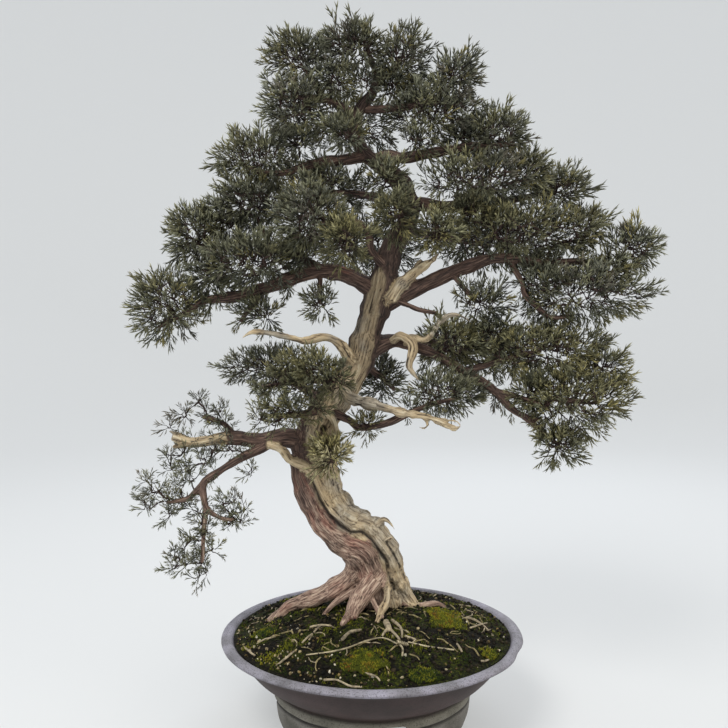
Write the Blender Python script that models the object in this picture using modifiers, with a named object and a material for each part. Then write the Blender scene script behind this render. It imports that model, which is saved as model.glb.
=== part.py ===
"""Shimpaku juniper bonsai: one piece of wood, its foliage pads, the soil mound, moss and a footed pot.

Sizes are in millimetres and MM turns them into metres. The table that the pot stands on is z = 0 and
the pot's axis is x = y = 0. At the end everything is moved together, so that the middle of the
bonsai's base box is the origin.
"""
import math

import bmesh
import bpy
from mathutils import Matrix, Vector, noise

MM = 0.001
GAP = 0.3

# Points nearer than this are one point: on a tube's caps, on a small face, on a turned seam
WELD = 0.01
SMALL_EDGE = 0.05
SEAM = 0.1

# The tree was measured as seen from the front, by an eye at this place
EYE = Vector((-8.0, -740.0, 349.0))

# Pot
POT_STEPS = 40
POT_TURN = math.radians(5)
RIM_RADIUS = 148
RIM_HEIGHT = 85
FLOOR_TOP = 42
FLOOR_UNDER = 34
FOOT_RADIUS = 97.5
FOOT_INNER = 80
ARCH_COUNT = 4
ARCH_WIDTH = 46
ARCH_HEIGHT = 33
ARCH_CORNER = 6
DRAIN_RADIUS = 11
DRAIN_SPREAD = 40
DRAIN_SIDES = 20
SCREEN_SIZE = 32
SCREEN_THICKNESS = 1.2

# Soil mound: a shallow dome that meets the pot just under the lip
SOIL_PEAK = 106
SOIL_RISE = 24.5
SOIL_SPREAD = 140
SOIL_EDGE = 133
SOIL_RINGS = (0, 30, 60, 90, 112, SOIL_EDGE)
SOIL_UNDER = 60

# Moss cushions: how far out they may reach, how wavy their rim is, how far they dip under it
MOSS_EDGE = 130
MOSS_RIPPLE = 0.18
MOSS_DIP = 0.02

# Wood
VOXEL = 1.5
WOOD_FACES = 4200
CLEARANCE = 0.6
PATH_STEP = 5.0

# Roundness of a tube, as steps of a quarter turn
TRUNK_ROUND = 6
LIMB_ROUND = 3
WIRE_ROUND = 2

# Each limb is a list of (across, up, depth, radius). Across and up are measured from the front on
# the upright plane through the pot's axis; depth is how far behind that plane the point lies.
TRUNK = {
    "core": [
        (8, 92, 22, 24), (8, 110, 20, 25), (6, 128, 20, 25), (4, 146, 19, 24), (-2, 162, 18, 25),
        (-16, 177, 16, 24), (-32, 193, 14, 23), (-44, 210, 13, 21), (-51, 226, 12, 20),
        (-57, 245, 11, 21), (-59, 265, 10, 21), (-55, 285, 9, 19), (-43, 307, 9, 17),
        (-28, 328, 9, 16), (-15, 350, 9, 16), (-8, 370, 8, 15.5), (-2, 390, 7, 15), (5, 410, 6, 15),
        (11, 428, 5, 15), (15, 447, 4, 13.5), (19, 463, 3, 12), (30, 481, 2, 11), (39, 498, 1, 10),
        (38, 515, 0, 9.5), (26, 533, -1, 9), (9, 547, -2, 8.5), (-6, 558, -3, 8),
        (-15, 573, -5, 7.5), (-17, 591, -7, 7), (-11, 606, -9, 6), (-1, 618, -10, 5),
        (4, 633, -11, 4), (0, 651, -12, 3), (-8, 673, -13, 2)],
    "live_vein": [
        (-72, 258, 6, 11), (-69, 235, 5, 11), (-61, 213, 4, 11), (-50, 191, 2, 13),
        (-29, 170, 1, 14), (-12, 160, 2, 16), (-4, 138, 8, 18), (0, 117, 12, 19), (0, 96, 14, 18)],
    "dead_side": [
        (-47, 250, 8, 12), (-45, 237, 6, 13), (-39, 214, 5, 12.5), (-23, 196, 4, 12),
        (-2, 188, 5, 10), (10, 173, 6, 10), (19, 157, 9, 9.5), (25, 136, 12, 9.5),
        (32, 123, 14, 9.5), (40, 109, 14, 9), (44, 97, 14, 8)],
}
ROOTS = {
    "root_left": [
        (-14, 141, 4, 13), (-32, 127, 6, 11.5), (-52, 117, 12, 9), (-72, 110, 16, 7.5),
        (-85, 105, 16, 6), (-97, 93, 4, 4.2), (-104, 85, -8, 3)],
    "root_front": [(3, 133, -4, 12), (-10, 118, -12, 10), (-18, 105, -22, 8), (-22, 93, -34, 6)],
    "root_front_pale": [(-18, 122, -8, 4), (-37, 110, -6, 3.5), (-46, 101, -10, 3)],
    "root_yellow": [(16, 128, -4, 5), (15, 113, -14, 4.5), (9, 100, -26, 3.5), (3, 85, -44, 2.4)],
    "root_thin": [(0, 115, -14, 2.8), (6, 101, -24, 2.6), (11, 95, -32, 2.4)],
    "root_right": [(33, 108, 10, 5), (48, 107, 12, 4), (65, 109, 22, 3.2), (73, 105, 26, 2.6)],
    "root_back": [(14, 126, 30, 12), (22, 120, 55, 7), (30, 119, 78, 4), (34, 121, 95, 2.6)],
    "root_back_left": [(-8, 128, 28, 11), (-34, 121, 48, 6), (-56, 119, 70, 3.2)],
}
LEFT_LIMBS = {
    "main": [
        (2, 421, 4, 9), (-14, 432, 2, 8.5), (-32, 439, 0, 8), (-52, 441, -4, 8),
        (-72, 437, -8, 7.5), (-92, 429, -13, 7), (-114, 422, -18, 6.5), (-136, 416, -22, 6),
        (-154, 414, -26, 5), (-170, 411, -30, 4), (-184, 401, -34, 3.2), (-200, 393, -38, 2.6),
        (-214, 385, -42, 2)],
    "main_upper": [
        (-52, 443, -2, 5), (-72, 455, 6, 4.6), (-102, 465, 14, 4), (-126, 470, 20, 3.4),
        (-151, 467, 18, 2.8), (-166, 466, 10, 2.4), (-178, 470, 2, 2)],
    "main_shoulder": [(-102, 465, 14, 3.4), (-109, 482, 8, 2.8), (-117, 500, 2, 2.2)],
    "main_drop": [(-110, 422, -16, 4), (-124, 403, -24, 3), (-132, 391, -28, 2.2)],
    "main_inner_drop": [(-52, 438, -6, 3.2), (-52, 424, -16, 2.6), (-51, 408, -22, 2)],
    "upper": [
        (-6, 557, -4, 6), (-27, 553, -10, 5), (-49, 551, -15, 4.5), (-72, 545, -20, 4),
        (-86, 540, -24, 3.5), (-107, 540, -27, 3), (-123, 545, -28, 2.5), (-132, 549, -28, 2)],
    "crown": [
        (-15, 595, -8, 4), (-27, 605, -14, 3.5), (-47, 613, -18, 3.2), (-72, 616, -22, 2.6),
        (-92, 616, -26, 2)],
    "crown_up": [(-47, 613, -18, 3), (-60, 632, -20, 2.5), (-72, 650, -20, 2)],
    "curved": [
        (12, 447, -4, 5), (-1, 463, -16, 4.5), (-3, 477, -22, 4), (-10, 488, -27, 3.6),
        (-24, 493, -32, 3.2), (-38, 491, -36, 3), (-50, 488, -40, 2.5)],
    "curved_front": [(-24, 492, -32, 2.8), (-26, 484, -50, 2.4), (-27, 474, -66, 2)],
    "mid": [
        (-36, 330, 0, 4.5), (-57, 333, -14, 3.8), (-77, 332, -26, 3.2), (-97, 328, -36, 2.7),
        (-110, 326, -44, 2.2)],
    "inner_upper": [(-15, 582, -6, 3.2), (-21, 580, -22, 2.6), (-26, 578, -38, 2)],
    "mid_lower": [
        (-50, 303, 0, 4), (-72, 299, -16, 3.4), (-92, 297, -28, 2.8), (-108, 297, -38, 2.2)],
    "front_twig": [(-50, 278, -10, 4), (-42, 263, -22, 3), (-39, 250, -30, 2.4)],
    "low": [
        (-62, 270, 8, 10), (-72, 273, 6, 9.5), (-87, 276, 3, 9), (-105, 273, 0, 8),
        (-122, 273, -4, 7), (-133, 275, -7, 7), (-150, 275, -11, 6), (-168, 272, -15, 5.5),
        (-182, 271, -19, 5), (-194, 274, -22, 4), (-200, 276, -24, 3)],
    "low_fork": [(-180, 271, -18, 3.8), (-190, 268, -20, 3.2), (-200, 266, -22, 2.4)],
    "low_droop": [
        (-104, 270, -2, 5.5), (-112, 264, -8, 5), (-128, 257, -14, 4.6), (-145, 247, -19, 4.2),
        (-161, 236, -23, 4), (-169, 229, -25, 3.8), (-168, 214, -28, 3.2), (-164, 203, -30, 2.7),
        (-151, 195, -32, 2.3), (-137, 193, -34, 2)],
    "low_left": [
        (-169, 229, -25, 3.4), (-177, 221, -28, 3), (-185, 214, -31, 2.8), (-206, 210, -36, 2)],
    "low_hanging": [(-166, 206, -29, 2.6), (-168, 185, -33, 2.3), (-170, 150, -38, 2)],
    "low_upper": [
        (-138, 275, -8, 3.4), (-147, 288, -12, 3), (-157, 293, -15, 2.5), (-170, 296, -18, 2)],
    "low_ribbon": [
        (-103, 268, -6, 4.5), (-90, 263, -9, 4.5), (-81, 252, -9, 4.5), (-66, 246, -9, 4.5),
        (-60, 238, -6, 4.5)],
    "jin": [
        (-16, 350, 2, 7), (-23, 357, -8, 6), (-30, 367, -15, 5.5), (-39, 374, -20, 5),
        (-49, 376, -25, 5), (-67, 372, -32, 4.5), (-77, 374, -36, 3.2), (-99, 379, -43, 3),
        (-119, 381, -49, 3), (-130, 375, -52, 2.2)],
}
RIGHT_LIMBS = {
    "main": [
        (14, 408, 6, 9), (36, 421, 0, 8), (55, 430, -4, 7.5), (79, 441, -8, 7), (98, 448, -11, 6.5),
        (116, 454, -14, 6), (138, 455, -18, 5.2), (163, 451, -20, 4.5), (188, 451, -20, 4),
        (213, 451, -18, 3.2), (228, 441, -16, 2.8), (249, 442, -14, 2.5), (268, 450, -12, 2)],
    "main_drop": [
        (138, 452, -16, 3.6), (150, 431, -24, 3.2), (153, 418, -28, 3), (163, 408, -30, 2.8),
        (178, 396, -32, 2.4), (198, 397, -30, 2)],
    "main_shari": [
        (18, 413, -8, 7), (28, 428, -9, 6.5), (43, 441, -10, 6), (58, 451, -10, 5),
        (64, 455, -10, 3.5)],
    "main_under": [(79, 441, -8, 3.2), (92, 425, -14, 2.8), (104, 412, -18, 2.2)],
    "upper": [
        (6, 553, -2, 7), (18, 557, -4, 6.5), (32, 555, -8, 6), (54, 559, -12, 5.5),
        (78, 563, -16, 5), (98, 566, -18, 4.5), (123, 567, -20, 3.5), (143, 570, -20, 2.5)],
    "crown": [
        (-6, 603, -9, 4), (25, 605, -12, 3.5), (48, 609, -14, 3), (68, 618, -15, 2.5),
        (83, 633, -16, 2)],
    "crown_up": [(4, 630, -11, 3), (18, 640, -8, 2.5), (30, 652, -6, 2)],
    "middle": [
        (38, 510, 1, 6.5), (58, 508, 4, 6), (78, 507, 8, 5.5), (103, 508, 12, 5), (128, 511, 14, 4),
        (158, 517, 14, 3), (183, 523, 12, 2.3)],
    "middle_front": [(78, 507, 8, 4), (95, 515, -12, 3), (110, 525, -28, 2.2)],
    "front": [(36, 495, -4, 4.5), (30, 497, -24, 3), (24, 497, -42, 2.2)],
    "front_low": [(58, 508, 4, 4), (62, 496, -14, 2.8), (65, 484, -30, 2)],
    "low": [
        (-6, 355, 9, 7.5), (6, 365, 8, 7), (20, 371, 6, 6.5), (38, 368, 4, 6), (58, 361, 0, 6),
        (76, 352, -4, 5.7), (94, 340, -8, 5.5), (115, 328, -12, 5), (128, 317, -15, 4.5),
        (140, 304, -18, 4), (152, 297, -20, 3), (168, 293, -22, 2.2)],
    "low_fork": [
        (121, 323, -14, 3.6), (146, 316, -22, 3), (163, 310, -28, 2.7), (174, 307, -31, 2.6),
        (181, 314, -33, 3), (198, 312, -36, 2.5), (218, 311, -38, 2)],
    "low_upper": [(94, 342, -8, 4), (120, 350, -8, 3.4), (148, 358, -10, 2.6), (170, 362, -10, 2)],
    "low_bottom": [(152, 297, -20, 3), (168, 283, -26, 2.6), (184, 270, -31, 2)],
    "jin": [
        (-26, 322, -2, 6), (-20, 315, -10, 5.5), (-2, 310, -18, 6), (15, 305, -24, 5.5),
        (32, 300, -30, 4.2), (52, 297, -36, 3.5), (65, 293, -40, 3), (78, 288, -44, 2.5),
        (85, 286, -46, 2)],
    "jin_live": [
        (-43, 303, -2, 4), (-36, 299, -6, 4), (-22, 292, -10, 4), (-12, 285, -12, 3.8),
        (13, 289, -14, 3.8), (28, 295, -12, 3.8), (40, 301, -14, 3.4), (53, 306, -18, 3),
        (68, 311, -22, 2.5), (88, 315, -26, 2)],
    "pale_curve": [
        (34, 369, 0, 3), (39, 376, -8, 3), (52, 373, -16, 3), (61, 380, -20, 3),
        (67, 390, -23, 2.8), (79, 398, -25, 2.5), (91, 396, -27, 2.2), (98, 391, -28, 2)],
    "hanging_jin": [
        (22, 373, 0, 4.5), (28, 377, -8, 4.2), (37, 372, -13, 4.5), (41, 365, -16, 4.5),
        (39, 356, -18, 4), (37, 347, -19, 4), (41, 340, -20, 4.3), (47, 333, -21, 2.6)],
    "twig": [(20, 415, -2, 3.4), (38, 407, -8, 2.6), (48, 403, -12, 2.4), (64, 400, -14, 2)],
}
BACK_LIMBS = {
    "behind_trunk": [(-8, 352, 12, 4.5), (0, 343, 24, 4), (13, 333, 36, 3), (23, 323, 46, 2.3)],
    "centre": [
        (14, 432, 14, 8), (20, 440, 50, 6.5), (10, 452, 85, 5), (-5, 460, 120, 3.8),
        (-20, 466, 145, 2.6)],
    "right": [
        (30, 483, 6, 6), (50, 480, 40, 5), (75, 475, 70, 4), (100, 470, 100, 3),
        (118, 468, 120, 2.2)],
    "upper": [(-15, 575, 0, 5), (-25, 580, 30, 4), (-30, 585, 60, 3), (-30, 590, 82, 2.2)],
    "left": [(36, 508, 4, 5.5), (10, 515, 35, 4.6), (-25, 520, 65, 3.4), (-58, 522, 90, 2.4)],
    "low_left": [
        (-40, 310, 12, 6), (-60, 320, 45, 5), (-80, 330, 75, 4), (-95, 338, 100, 3),
        (-105, 345, 118, 2.2)],
    "low_right": [
        (-4, 372, 12, 6), (20, 375, 45, 5), (50, 372, 75, 4), (80, 366, 105, 3),
        (100, 362, 122, 2.2)],
}

# Each foliage pad: across, up, depth of its middle, then half its width, height and depth
PADS = {
    "crown_top": (-20, 670, -15, 45, 32, 42),
    "crown_left_upper": (-73, 654, -20, 36, 31, 36),
    "crown_left_lower": (-78, 603, -30, 36, 35, 40),
    "crown_right": (30, 650, -5, 34, 37, 40),
    "crown_far_right": (82, 633, -20, 30, 30, 34),
    "left_upper": (-118, 554, -26, 46, 26, 38),
    "centre_upper": (-25, 578, -36, 24, 17, 22),
    "right_upper": (60, 596, -10, 47, 28, 48),
    "right_shoulder": (125, 577, -18, 38, 28, 42),
    "right_middle": (108, 531, -30, 60, 27, 50),
    "right_far_upper": (189, 521, 10, 31, 30, 40),
    "right_main": (150, 477, -10, 72, 31, 62),
    "right_tip": (260, 464, -12, 34, 23, 34),
    "right_lower": (213, 418, -25, 65, 34, 50),
    "right_under": (111, 408, -20, 34, 22, 26),
    "left_shoulder": (-120, 507, 0, 47, 29, 55),
    "left_mid": (-177, 476, -15, 36, 33, 45),
    "left_far": (-206, 408, -38, 39, 42, 42),
    "left_main": (-122, 448, -25, 50, 30, 55),
    "centre_left": (-62, 492, -45, 40, 41, 45),
    "centre_front": (-27, 471, -75, 27, 28, 28),
    "centre_right": (23, 496, -45, 30, 28, 30),
    "centre_right_low": (65, 481, -35, 23, 27, 26),
    "left_under": (-109, 397, -24, 22, 17, 22),
    "left_under_inner": (-51, 407, -24, 21, 16, 20),
    "mid_left": (-66, 345, -50, 44, 27, 38),
    "mid_left_lower": (-92, 307, -50, 40, 26, 38),
    "front_tuft": (-42, 256, -36, 16, 20, 14),
    "behind_trunk": (10, 333, 50, 23, 32, 30),
    "low_right_inner_upper": (80, 371, 5, 38, 28, 40),
    "low_right_inner_lower": (73, 319, -20, 45, 24, 40),
    "low_right_outer_upper": (170, 361, -10, 62, 33, 55),
    "low_right_outer": (204, 311, -32, 57, 43, 48),
    "low_right_bottom": (188, 266, -32, 30, 23, 30),
    "small_tuft": (-7, 287, -22, 17, 14, 14),
    "lower_left_top": (-168, 300, -18, 28, 19, 28),
    "lower_left_middle": (-155, 256, -20, 42, 18, 34),
    "lower_left_outer": (-210, 213, -34, 30, 25, 28),
    "lower_left_right": (-141, 200, -33, 21, 18, 20),
    "lower_left_hanging": (-178, 154, -38, 26, 33, 24),
    "back_upper": (-30, 590, 80, 60, 35, 45),
    "back_left": (-60, 520, 90, 65, 32, 45),
    "back_centre": (-15, 465, 140, 70, 32, 45),
    "back_right": (115, 470, 115, 65, 32, 45),
    "back_low_left": (-105, 345, 115, 50, 26, 38),
    "back_low_right": (100, 362, 120, 60, 28, 42),
}

# Each moss cushion: across and up of its middle on the soil, its two half widths, its thickness
MOSS = {
    "front": (-5, 51, 21, 16, 5.0),
    "right_ridge": (73, 94, 20, 26, 5.0),
    "right_edge": (118, 58, 10, 10, 4.0),
    "front_right": (54, 36, 17, 11, 3.5),
    "left": (-108, 79, 12, 10, 4.0),
    "back_left": (-50, 120, 24, 9, 3.0),
}

# Anchor wire that ties the root ball down, where it lies over the soil: across and up of its points
TIE_ROUTE = [
    (-66, 58), (-42, 61), (-25, 65), (-9, 71), (6, 75), (15, 74), (25, 69), (31, 70), (36, 71),
    (42, 69.5), (55, 66.5), (63, 65.3), (82, 63)]
TIE_RADIUS = 0.9

# Foliage pads: how much they are filled out, how bumpy they are, the gap where two are cut apart
PAD_FULLNESS = 1.05
PAD_BUMP = 0.10
BUMP_SCALE = 1.7
PAD_SPLIT = 0.3


def clear_scene():
    """Start from nothing."""
    for old in list(bpy.data.objects):
        bpy.data.objects.remove(old, do_unlink=True)


def place(across, up, depth):
    """The point, in millimetres, that is seen at across and up and lies depth behind the plane."""
    front = Vector((across, 0.0, up))
    return EYE + (front - EYE) * ((depth - EYE.y) / -EYE.y)


def soil_height(x, y):
    """Height of the soil's surface over a point of the pot."""
    return SOIL_PEAK - SOIL_RISE * (x * x + y * y) / SOIL_SPREAD ** 2


def on_soil(across, up, lift):
    """The point of the soil that is seen at across and up, raised by lift."""
    near, far = -RIM_RADIUS, RIM_RADIUS
    for _ in range(40):
        depth = (near + far) / 2
        point = place(across, up, depth)
        if point.z > soil_height(point.x, point.y) + lift:
            near = depth
        else:
            far = depth
    return place(across, up, depth)


def make_material(name, colour, roughness):
    """A plain surface of one sRGB colour."""
    material = bpy.data.materials.new(name)
    material.use_nodes = True
    shader = material.node_tree.nodes["Principled BSDF"]
    linear = [((c / 255 + 0.055) / 1.055) ** 2.4 for c in colour]
    shader.inputs["Base Color"].default_value = (*linear, 1.0)
    shader.inputs["Roughness"].default_value = roughness
    shader.inputs["Metallic"].default_value = 0.0
    return material


def make_object(name, mesh, collection, material=None):
    """Put a mesh in a collection as a named object."""
    mesh.name = name
    piece = bpy.data.objects.new(name, mesh)
    collection.objects.link(piece)
    if material:
        mesh.materials.clear()
        mesh.materials.append(material)
    return piece


def mesh_of(bm, name):
    """Turn a bmesh into a mesh and free it."""
    mesh = bpy.data.meshes.new(name)
    bm.normal_update()
    bm.to_mesh(mesh)
    bm.free()
    return mesh


def apply_modifiers(piece):
    """Replace an object's mesh by what its modifiers make of it."""
    graph = bpy.context.evaluated_depsgraph_get()
    result = bpy.data.meshes.new_from_object(piece.evaluated_get(graph), depsgraph=graph)
    piece.modifiers.clear()
    piece.data = result
    return piece


def keep_largest_body(mesh):
    """Remove every loose body but the one with the most volume."""
    bm = bmesh.new()
    bm.from_mesh(mesh)
    left = set(bm.verts)
    bodies = []
    while left:
        body = set()
        front = [left.pop()]
        while front:
            vertex = front.pop()
            body.add(vertex)
            for edge in vertex.link_edges:
                other = edge.other_vert(vertex)
                if other in left:
                    left.remove(other)
                    front.append(other)
        bodies.append(body)
    bodies.sort(key=body_volume)
    for body in bodies[:-1]:
        bmesh.ops.delete(bm, geom=list(body), context="VERTS")
    bm.to_mesh(mesh)
    bm.free()


def body_volume(body):
    """Signed volume enclosed by the faces on a set of vertices."""
    volume = 0.0
    for face in {face for vertex in body for face in vertex.link_faces}:
        first = face.verts[0].co
        for second, third in zip(face.verts[1:], face.verts[2:]):
            volume += first.dot(second.co.cross(third.co)) / 6
    return volume


def smooth_path(points, step):
    """Points about step apart on a smooth curve through all the given ones, with their radii."""
    ends = [points[0]] + points + [points[-1]]
    path = []
    for before, start, end, after in zip(ends, ends[1:], ends[2:], ends[3:]):
        count = max(1, round((end[0] - start[0]).length / step))
        for i in range(count):
            t = i / count
            position = 0.5 * (2 * start[0] + (end[0] - before[0]) * t
                              + (2 * before[0] - 5 * start[0] + 4 * end[0] - after[0]) * t ** 2
                              + (3 * start[0] - before[0] - 3 * end[0] + after[0]) * t ** 3)
            path.append((position, start[1] + (end[1] - start[1]) * t))
    path.append(points[-1])
    return path


def tube_mesh(points, roundness):
    """A closed tube through points, each with its own radius, in millimetres."""
    curve = bpy.data.curves.new("tube", "CURVE")
    curve.dimensions = "3D"
    curve.bevel_depth = MM
    curve.bevel_resolution = roundness
    curve.use_fill_caps = True
    spline = curve.splines.new("POLY")
    spline.points.add(len(points) - 1)
    for target, (position, radius) in zip(spline.points, points):
        target.co = (*(position * MM), 1.0)
        target.radius = radius
    holder = bpy.data.objects.new("tube", curve)
    bpy.context.scene.collection.objects.link(holder)
    bpy.context.view_layer.update()
    graph = bpy.context.evaluated_depsgraph_get()
    mesh = bpy.data.meshes.new_from_object(holder.evaluated_get(graph), depsgraph=graph)
    bpy.data.objects.remove(holder)
    bm = bmesh.new()
    bm.from_mesh(mesh)
    bmesh.ops.remove_doubles(bm, verts=bm.verts, dist=WELD * MM)
    bmesh.ops.recalc_face_normals(bm, faces=bm.faces)
    bm.to_mesh(mesh)
    bm.free()
    return mesh


def limb_path(limb):
    """The smooth path of one limb of the tables above."""
    points = [(place(across, up, depth), radius) for across, up, depth, radius in limb]
    return smooth_path(points, PATH_STEP)


def make_wood(collection, cutters):
    """Trunk, roots and branches, grown together into one body.

    Returns what is cut out of the pieces around it: a slightly fatter copy, which leaves a gap, and
    then the wood itself, for the folds in which the fatter copy turns inwards.
    """
    bm = bmesh.new()
    for limb in TRUNK.values():
        bm.from_mesh(tube_mesh(limb_path(limb), TRUNK_ROUND))
    for family in (ROOTS, LEFT_LIMBS, RIGHT_LIMBS, BACK_LIMBS):
        for limb in family.values():
            bm.from_mesh(tube_mesh(limb_path(limb), LIMB_ROUND))
    wood = make_object("tree_wood", mesh_of(bm, "tree_wood"), collection)
    fuse = wood.modifiers.new("fuse", "REMESH")
    fuse.mode = "VOXEL"
    fuse.voxel_size = VOXEL * MM
    apply_modifiers(wood)
    keep_largest_body(wood.data)
    ease = wood.modifiers.new("ease", "SMOOTH")
    ease.factor = 0.5
    ease.iterations = 4
    thin = wood.modifiers.new("thin", "DECIMATE")
    thin.ratio = WOOD_FACES / (2 * len(wood.data.polygons))
    thin.use_collapse_triangulate = True
    apply_modifiers(wood)
    keep_largest_body(wood.data)
    wood.data.materials.append(make_material("juniper_wood", (150, 118, 100), 0.8))

    clearance = make_object("wood_clearance", wood.data.copy(), cutters)
    normals = [vertex.normal.copy() for vertex in clearance.data.vertices]
    for vertex, normal in zip(clearance.data.vertices, normals):
        vertex.co += normal * CLEARANCE * MM
    hide_cutter(clearance)
    return clearance, wood


def hide_cutter(piece):
    """Mark an object as a tool and not a piece of the bonsai."""
    piece.hide_render = True
    piece.display_type = "WIRE"


def cut_away(piece, *cutters):
    """Cut objects out of another and keep what is left as one body."""
    for cutter in cutters:
        cut = piece.modifiers.new("cut", "BOOLEAN")
        cut.operation = "DIFFERENCE"
        cut.solver = "EXACT"
        cut.object = cutter
    apply_modifiers(piece)
    keep_largest_body(piece.data)
    return piece


def pad_shape(middle, halves):
    """A bumpy egg as a bmesh, in millimetres."""
    bm = bmesh.new()
    bmesh.ops.create_icosphere(bm, subdivisions=2, radius=1.0)
    for vertex in bm.verts:
        bump = 1.0 + PAD_BUMP * noise.noise(vertex.co * BUMP_SCALE + middle)
        vertex.co = Vector(c * h * bump for c, h in zip(vertex.co, halves)) + middle
    return bm


def reach(halves, direction):
    """How far an egg of these half sizes reaches along a direction."""
    return math.sqrt(sum((h * d) ** 2 for h, d in zip(halves, direction)))


def eggs_meet(first, second):
    """Whether two eggs overlap, tested along the line between points of one and the other."""
    (middle_a, halves_a), (middle_b, halves_b) = first, second
    bm = bmesh.new()
    bmesh.ops.create_icosphere(bm, subdivisions=3, radius=1.0 + PAD_BUMP / 2)
    met = False
    for vertex in bm.verts:
        point = Vector(c * h for c, h in zip(vertex.co, halves_a)) + middle_a - middle_b
        scaled = Vector(p / h for p, h in zip(point, halves_b))
        if scaled.length < 1.0 + PAD_BUMP / 2:
            met = True
            break
    bm.free()
    return met


def trim_pad(bm, own, other):
    """Cut a pad off at the plane half way to an overlapping neighbour."""
    (middle, halves), (far_middle, far_halves) = own, other
    line = far_middle - middle
    direction = line.normalized()
    near_reach = reach(halves, direction)
    far_reach = reach(far_halves, direction)
    share = line.length * near_reach / (near_reach + far_reach)
    point = middle + direction * (share - PAD_SPLIT / 2)
    geometry = list(bm.verts) + list(bm.edges) + list(bm.faces)
    bmesh.ops.bisect_plane(bm, geom=geometry, plane_co=point, plane_no=direction, clear_outer=True)
    rim = [edge for edge in bm.edges if edge.is_boundary]
    if rim:
        bmesh.ops.edgeloop_fill(bm, edges=rim)
        bmesh.ops.dissolve_degenerate(bm, edges=bm.edges, dist=SMALL_EDGE)


def make_pads(collection, wood_cutters):
    """All foliage pads, cut apart where they meet and cut clear of the wood."""
    material = make_material("juniper_foliage", (74, 84, 68), 0.85)
    eggs = {}
    for name, (across, up, depth, half_x, half_z, half_y) in PADS.items():
        scale = (depth - EYE.y) / -EYE.y
        middle = place(across, up, depth)
        eggs[name] = (middle, Vector((half_x * scale, half_y, half_z * scale)) * PAD_FULLNESS)
    pads = []
    for name, egg in eggs.items():
        bm = pad_shape(*egg)
        for other_name, other in eggs.items():
            if other_name != name and (eggs_meet(egg, other) or eggs_meet(other, egg)):
                trim_pad(bm, egg, other)
        bmesh.ops.scale(bm, vec=(MM, MM, MM), verts=bm.verts)
        bmesh.ops.triangulate(bm, faces=bm.faces)
        bmesh.ops.recalc_face_normals(bm, faces=bm.faces)
        pad = make_object("foliage_" + name, mesh_of(bm, name), collection)
        cut_away(pad, *wood_cutters)
        pad.data.materials.clear()
        pad.data.materials.append(material)
        pads.append(pad)
    return pads


def turned(name, profile, collection, material):
    """A solid turned about the pot's axis from (radius, height) points, outer side running down."""
    mesh = bpy.data.meshes.new(name)
    points = [(radius * MM, 0.0, height * MM) for radius, height in profile]
    mesh.from_pydata(points, [(i, i + 1) for i in range(len(points) - 1)], [])
    piece = make_object(name, mesh, collection, material)
    screw = piece.modifiers.new("turn", "SCREW")
    screw.axis = "Z"
    screw.steps = POT_STEPS
    screw.render_steps = POT_STEPS
    screw.use_merge_vertices = True
    screw.merge_threshold = SEAM * MM
    apply_modifiers(piece)
    piece.data.transform(Matrix.Rotation(POT_TURN, 4, "Z"))
    return piece


def pot_inner():
    """Inner side of the pot from the floor's edge up to the lip."""
    return [(86, FLOOR_TOP), (97, 46.5), (109, 55), (120, 66), (129, 76.5), (135.5, 83.5)]


def make_pot(collection, cutters):
    """The turned pot with its lip, foot ring, four arches and two drain holes."""
    lip = [(138, RIM_HEIGHT), (145, RIM_HEIGHT), (RIM_RADIUS, 82.5), (RIM_RADIUS, 79.5), (145, 77.3)]
    bowl = [(135, 75.5), (131, 72.5), (125, 63), (114, 51), (104, 43), (98.5, 39.5)]
    foot = [(96, 37.5), (FOOT_RADIUS, 35.5), (FOOT_RADIUS, 29), (95.5, 27.5), (96, 25.5), (94.5, 14),
            (91, 3), (88.5, 0), (FOOT_INNER, 0), (FOOT_INNER, 18), (83, FLOOR_UNDER)]
    profile = [(0, FLOOR_TOP)] + pot_inner() + lip + bowl + foot + [(0, FLOOR_UNDER)]
    pot = turned("pot", profile, collection, make_material("fired_clay", (92, 82, 84), 0.7))
    for index in range(ARCH_COUNT):
        cut_away(pot, arch_cutter(index, cutters))
    for side in (-1, 1):
        bm = bmesh.new()
        bmesh.ops.create_cone(bm, cap_ends=True, segments=DRAIN_SIDES, radius1=DRAIN_RADIUS * MM,
                              radius2=DRAIN_RADIUS * MM, depth=3 * (FLOOR_TOP - FLOOR_UNDER) * MM)
        bmesh.ops.translate(bm, verts=bm.verts, vec=(side * DRAIN_SPREAD * MM, 0, FLOOR_TOP * MM))
        hole = make_object("drain_cutter", mesh_of(bm, "drain_cutter"), cutters)
        hide_cutter(hole)
        cut_away(pot, hole)
    return pot


def arch_cutter(index, cutters):
    """A box with rounded upper corners that cuts one arch into the foot ring."""
    low = -ARCH_CORNER - GAP
    height = ARCH_HEIGHT - low
    through = 3 * (FOOT_RADIUS - FOOT_INNER)
    bm = bmesh.new()
    bmesh.ops.create_cube(bm, size=1.0)
    bmesh.ops.scale(bm, verts=bm.verts, vec=Vector((ARCH_WIDTH, through, height)) * MM)
    upper = [edge for edge in bm.edges if all(vertex.co.z > 0 for vertex in edge.verts)
             and abs(edge.verts[0].co.x - edge.verts[1].co.x) < MM]
    bmesh.ops.bevel(bm, geom=upper, offset=ARCH_CORNER * MM, segments=3, affect="EDGES", profile=0.5)
    middle = Vector((0, -(FOOT_INNER + FOOT_RADIUS) / 2, (ARCH_HEIGHT + low) / 2)) * MM
    bmesh.ops.translate(bm, verts=bm.verts, vec=middle)
    turn = Matrix.Rotation(POT_TURN + index * 2 * math.pi / ARCH_COUNT, 4, "Z")
    bmesh.ops.transform(bm, verts=bm.verts, matrix=turn)
    cutter = make_object("arch_cutter", mesh_of(bm, "arch_cutter"), cutters)
    hide_cutter(cutter)
    return cutter


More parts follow.
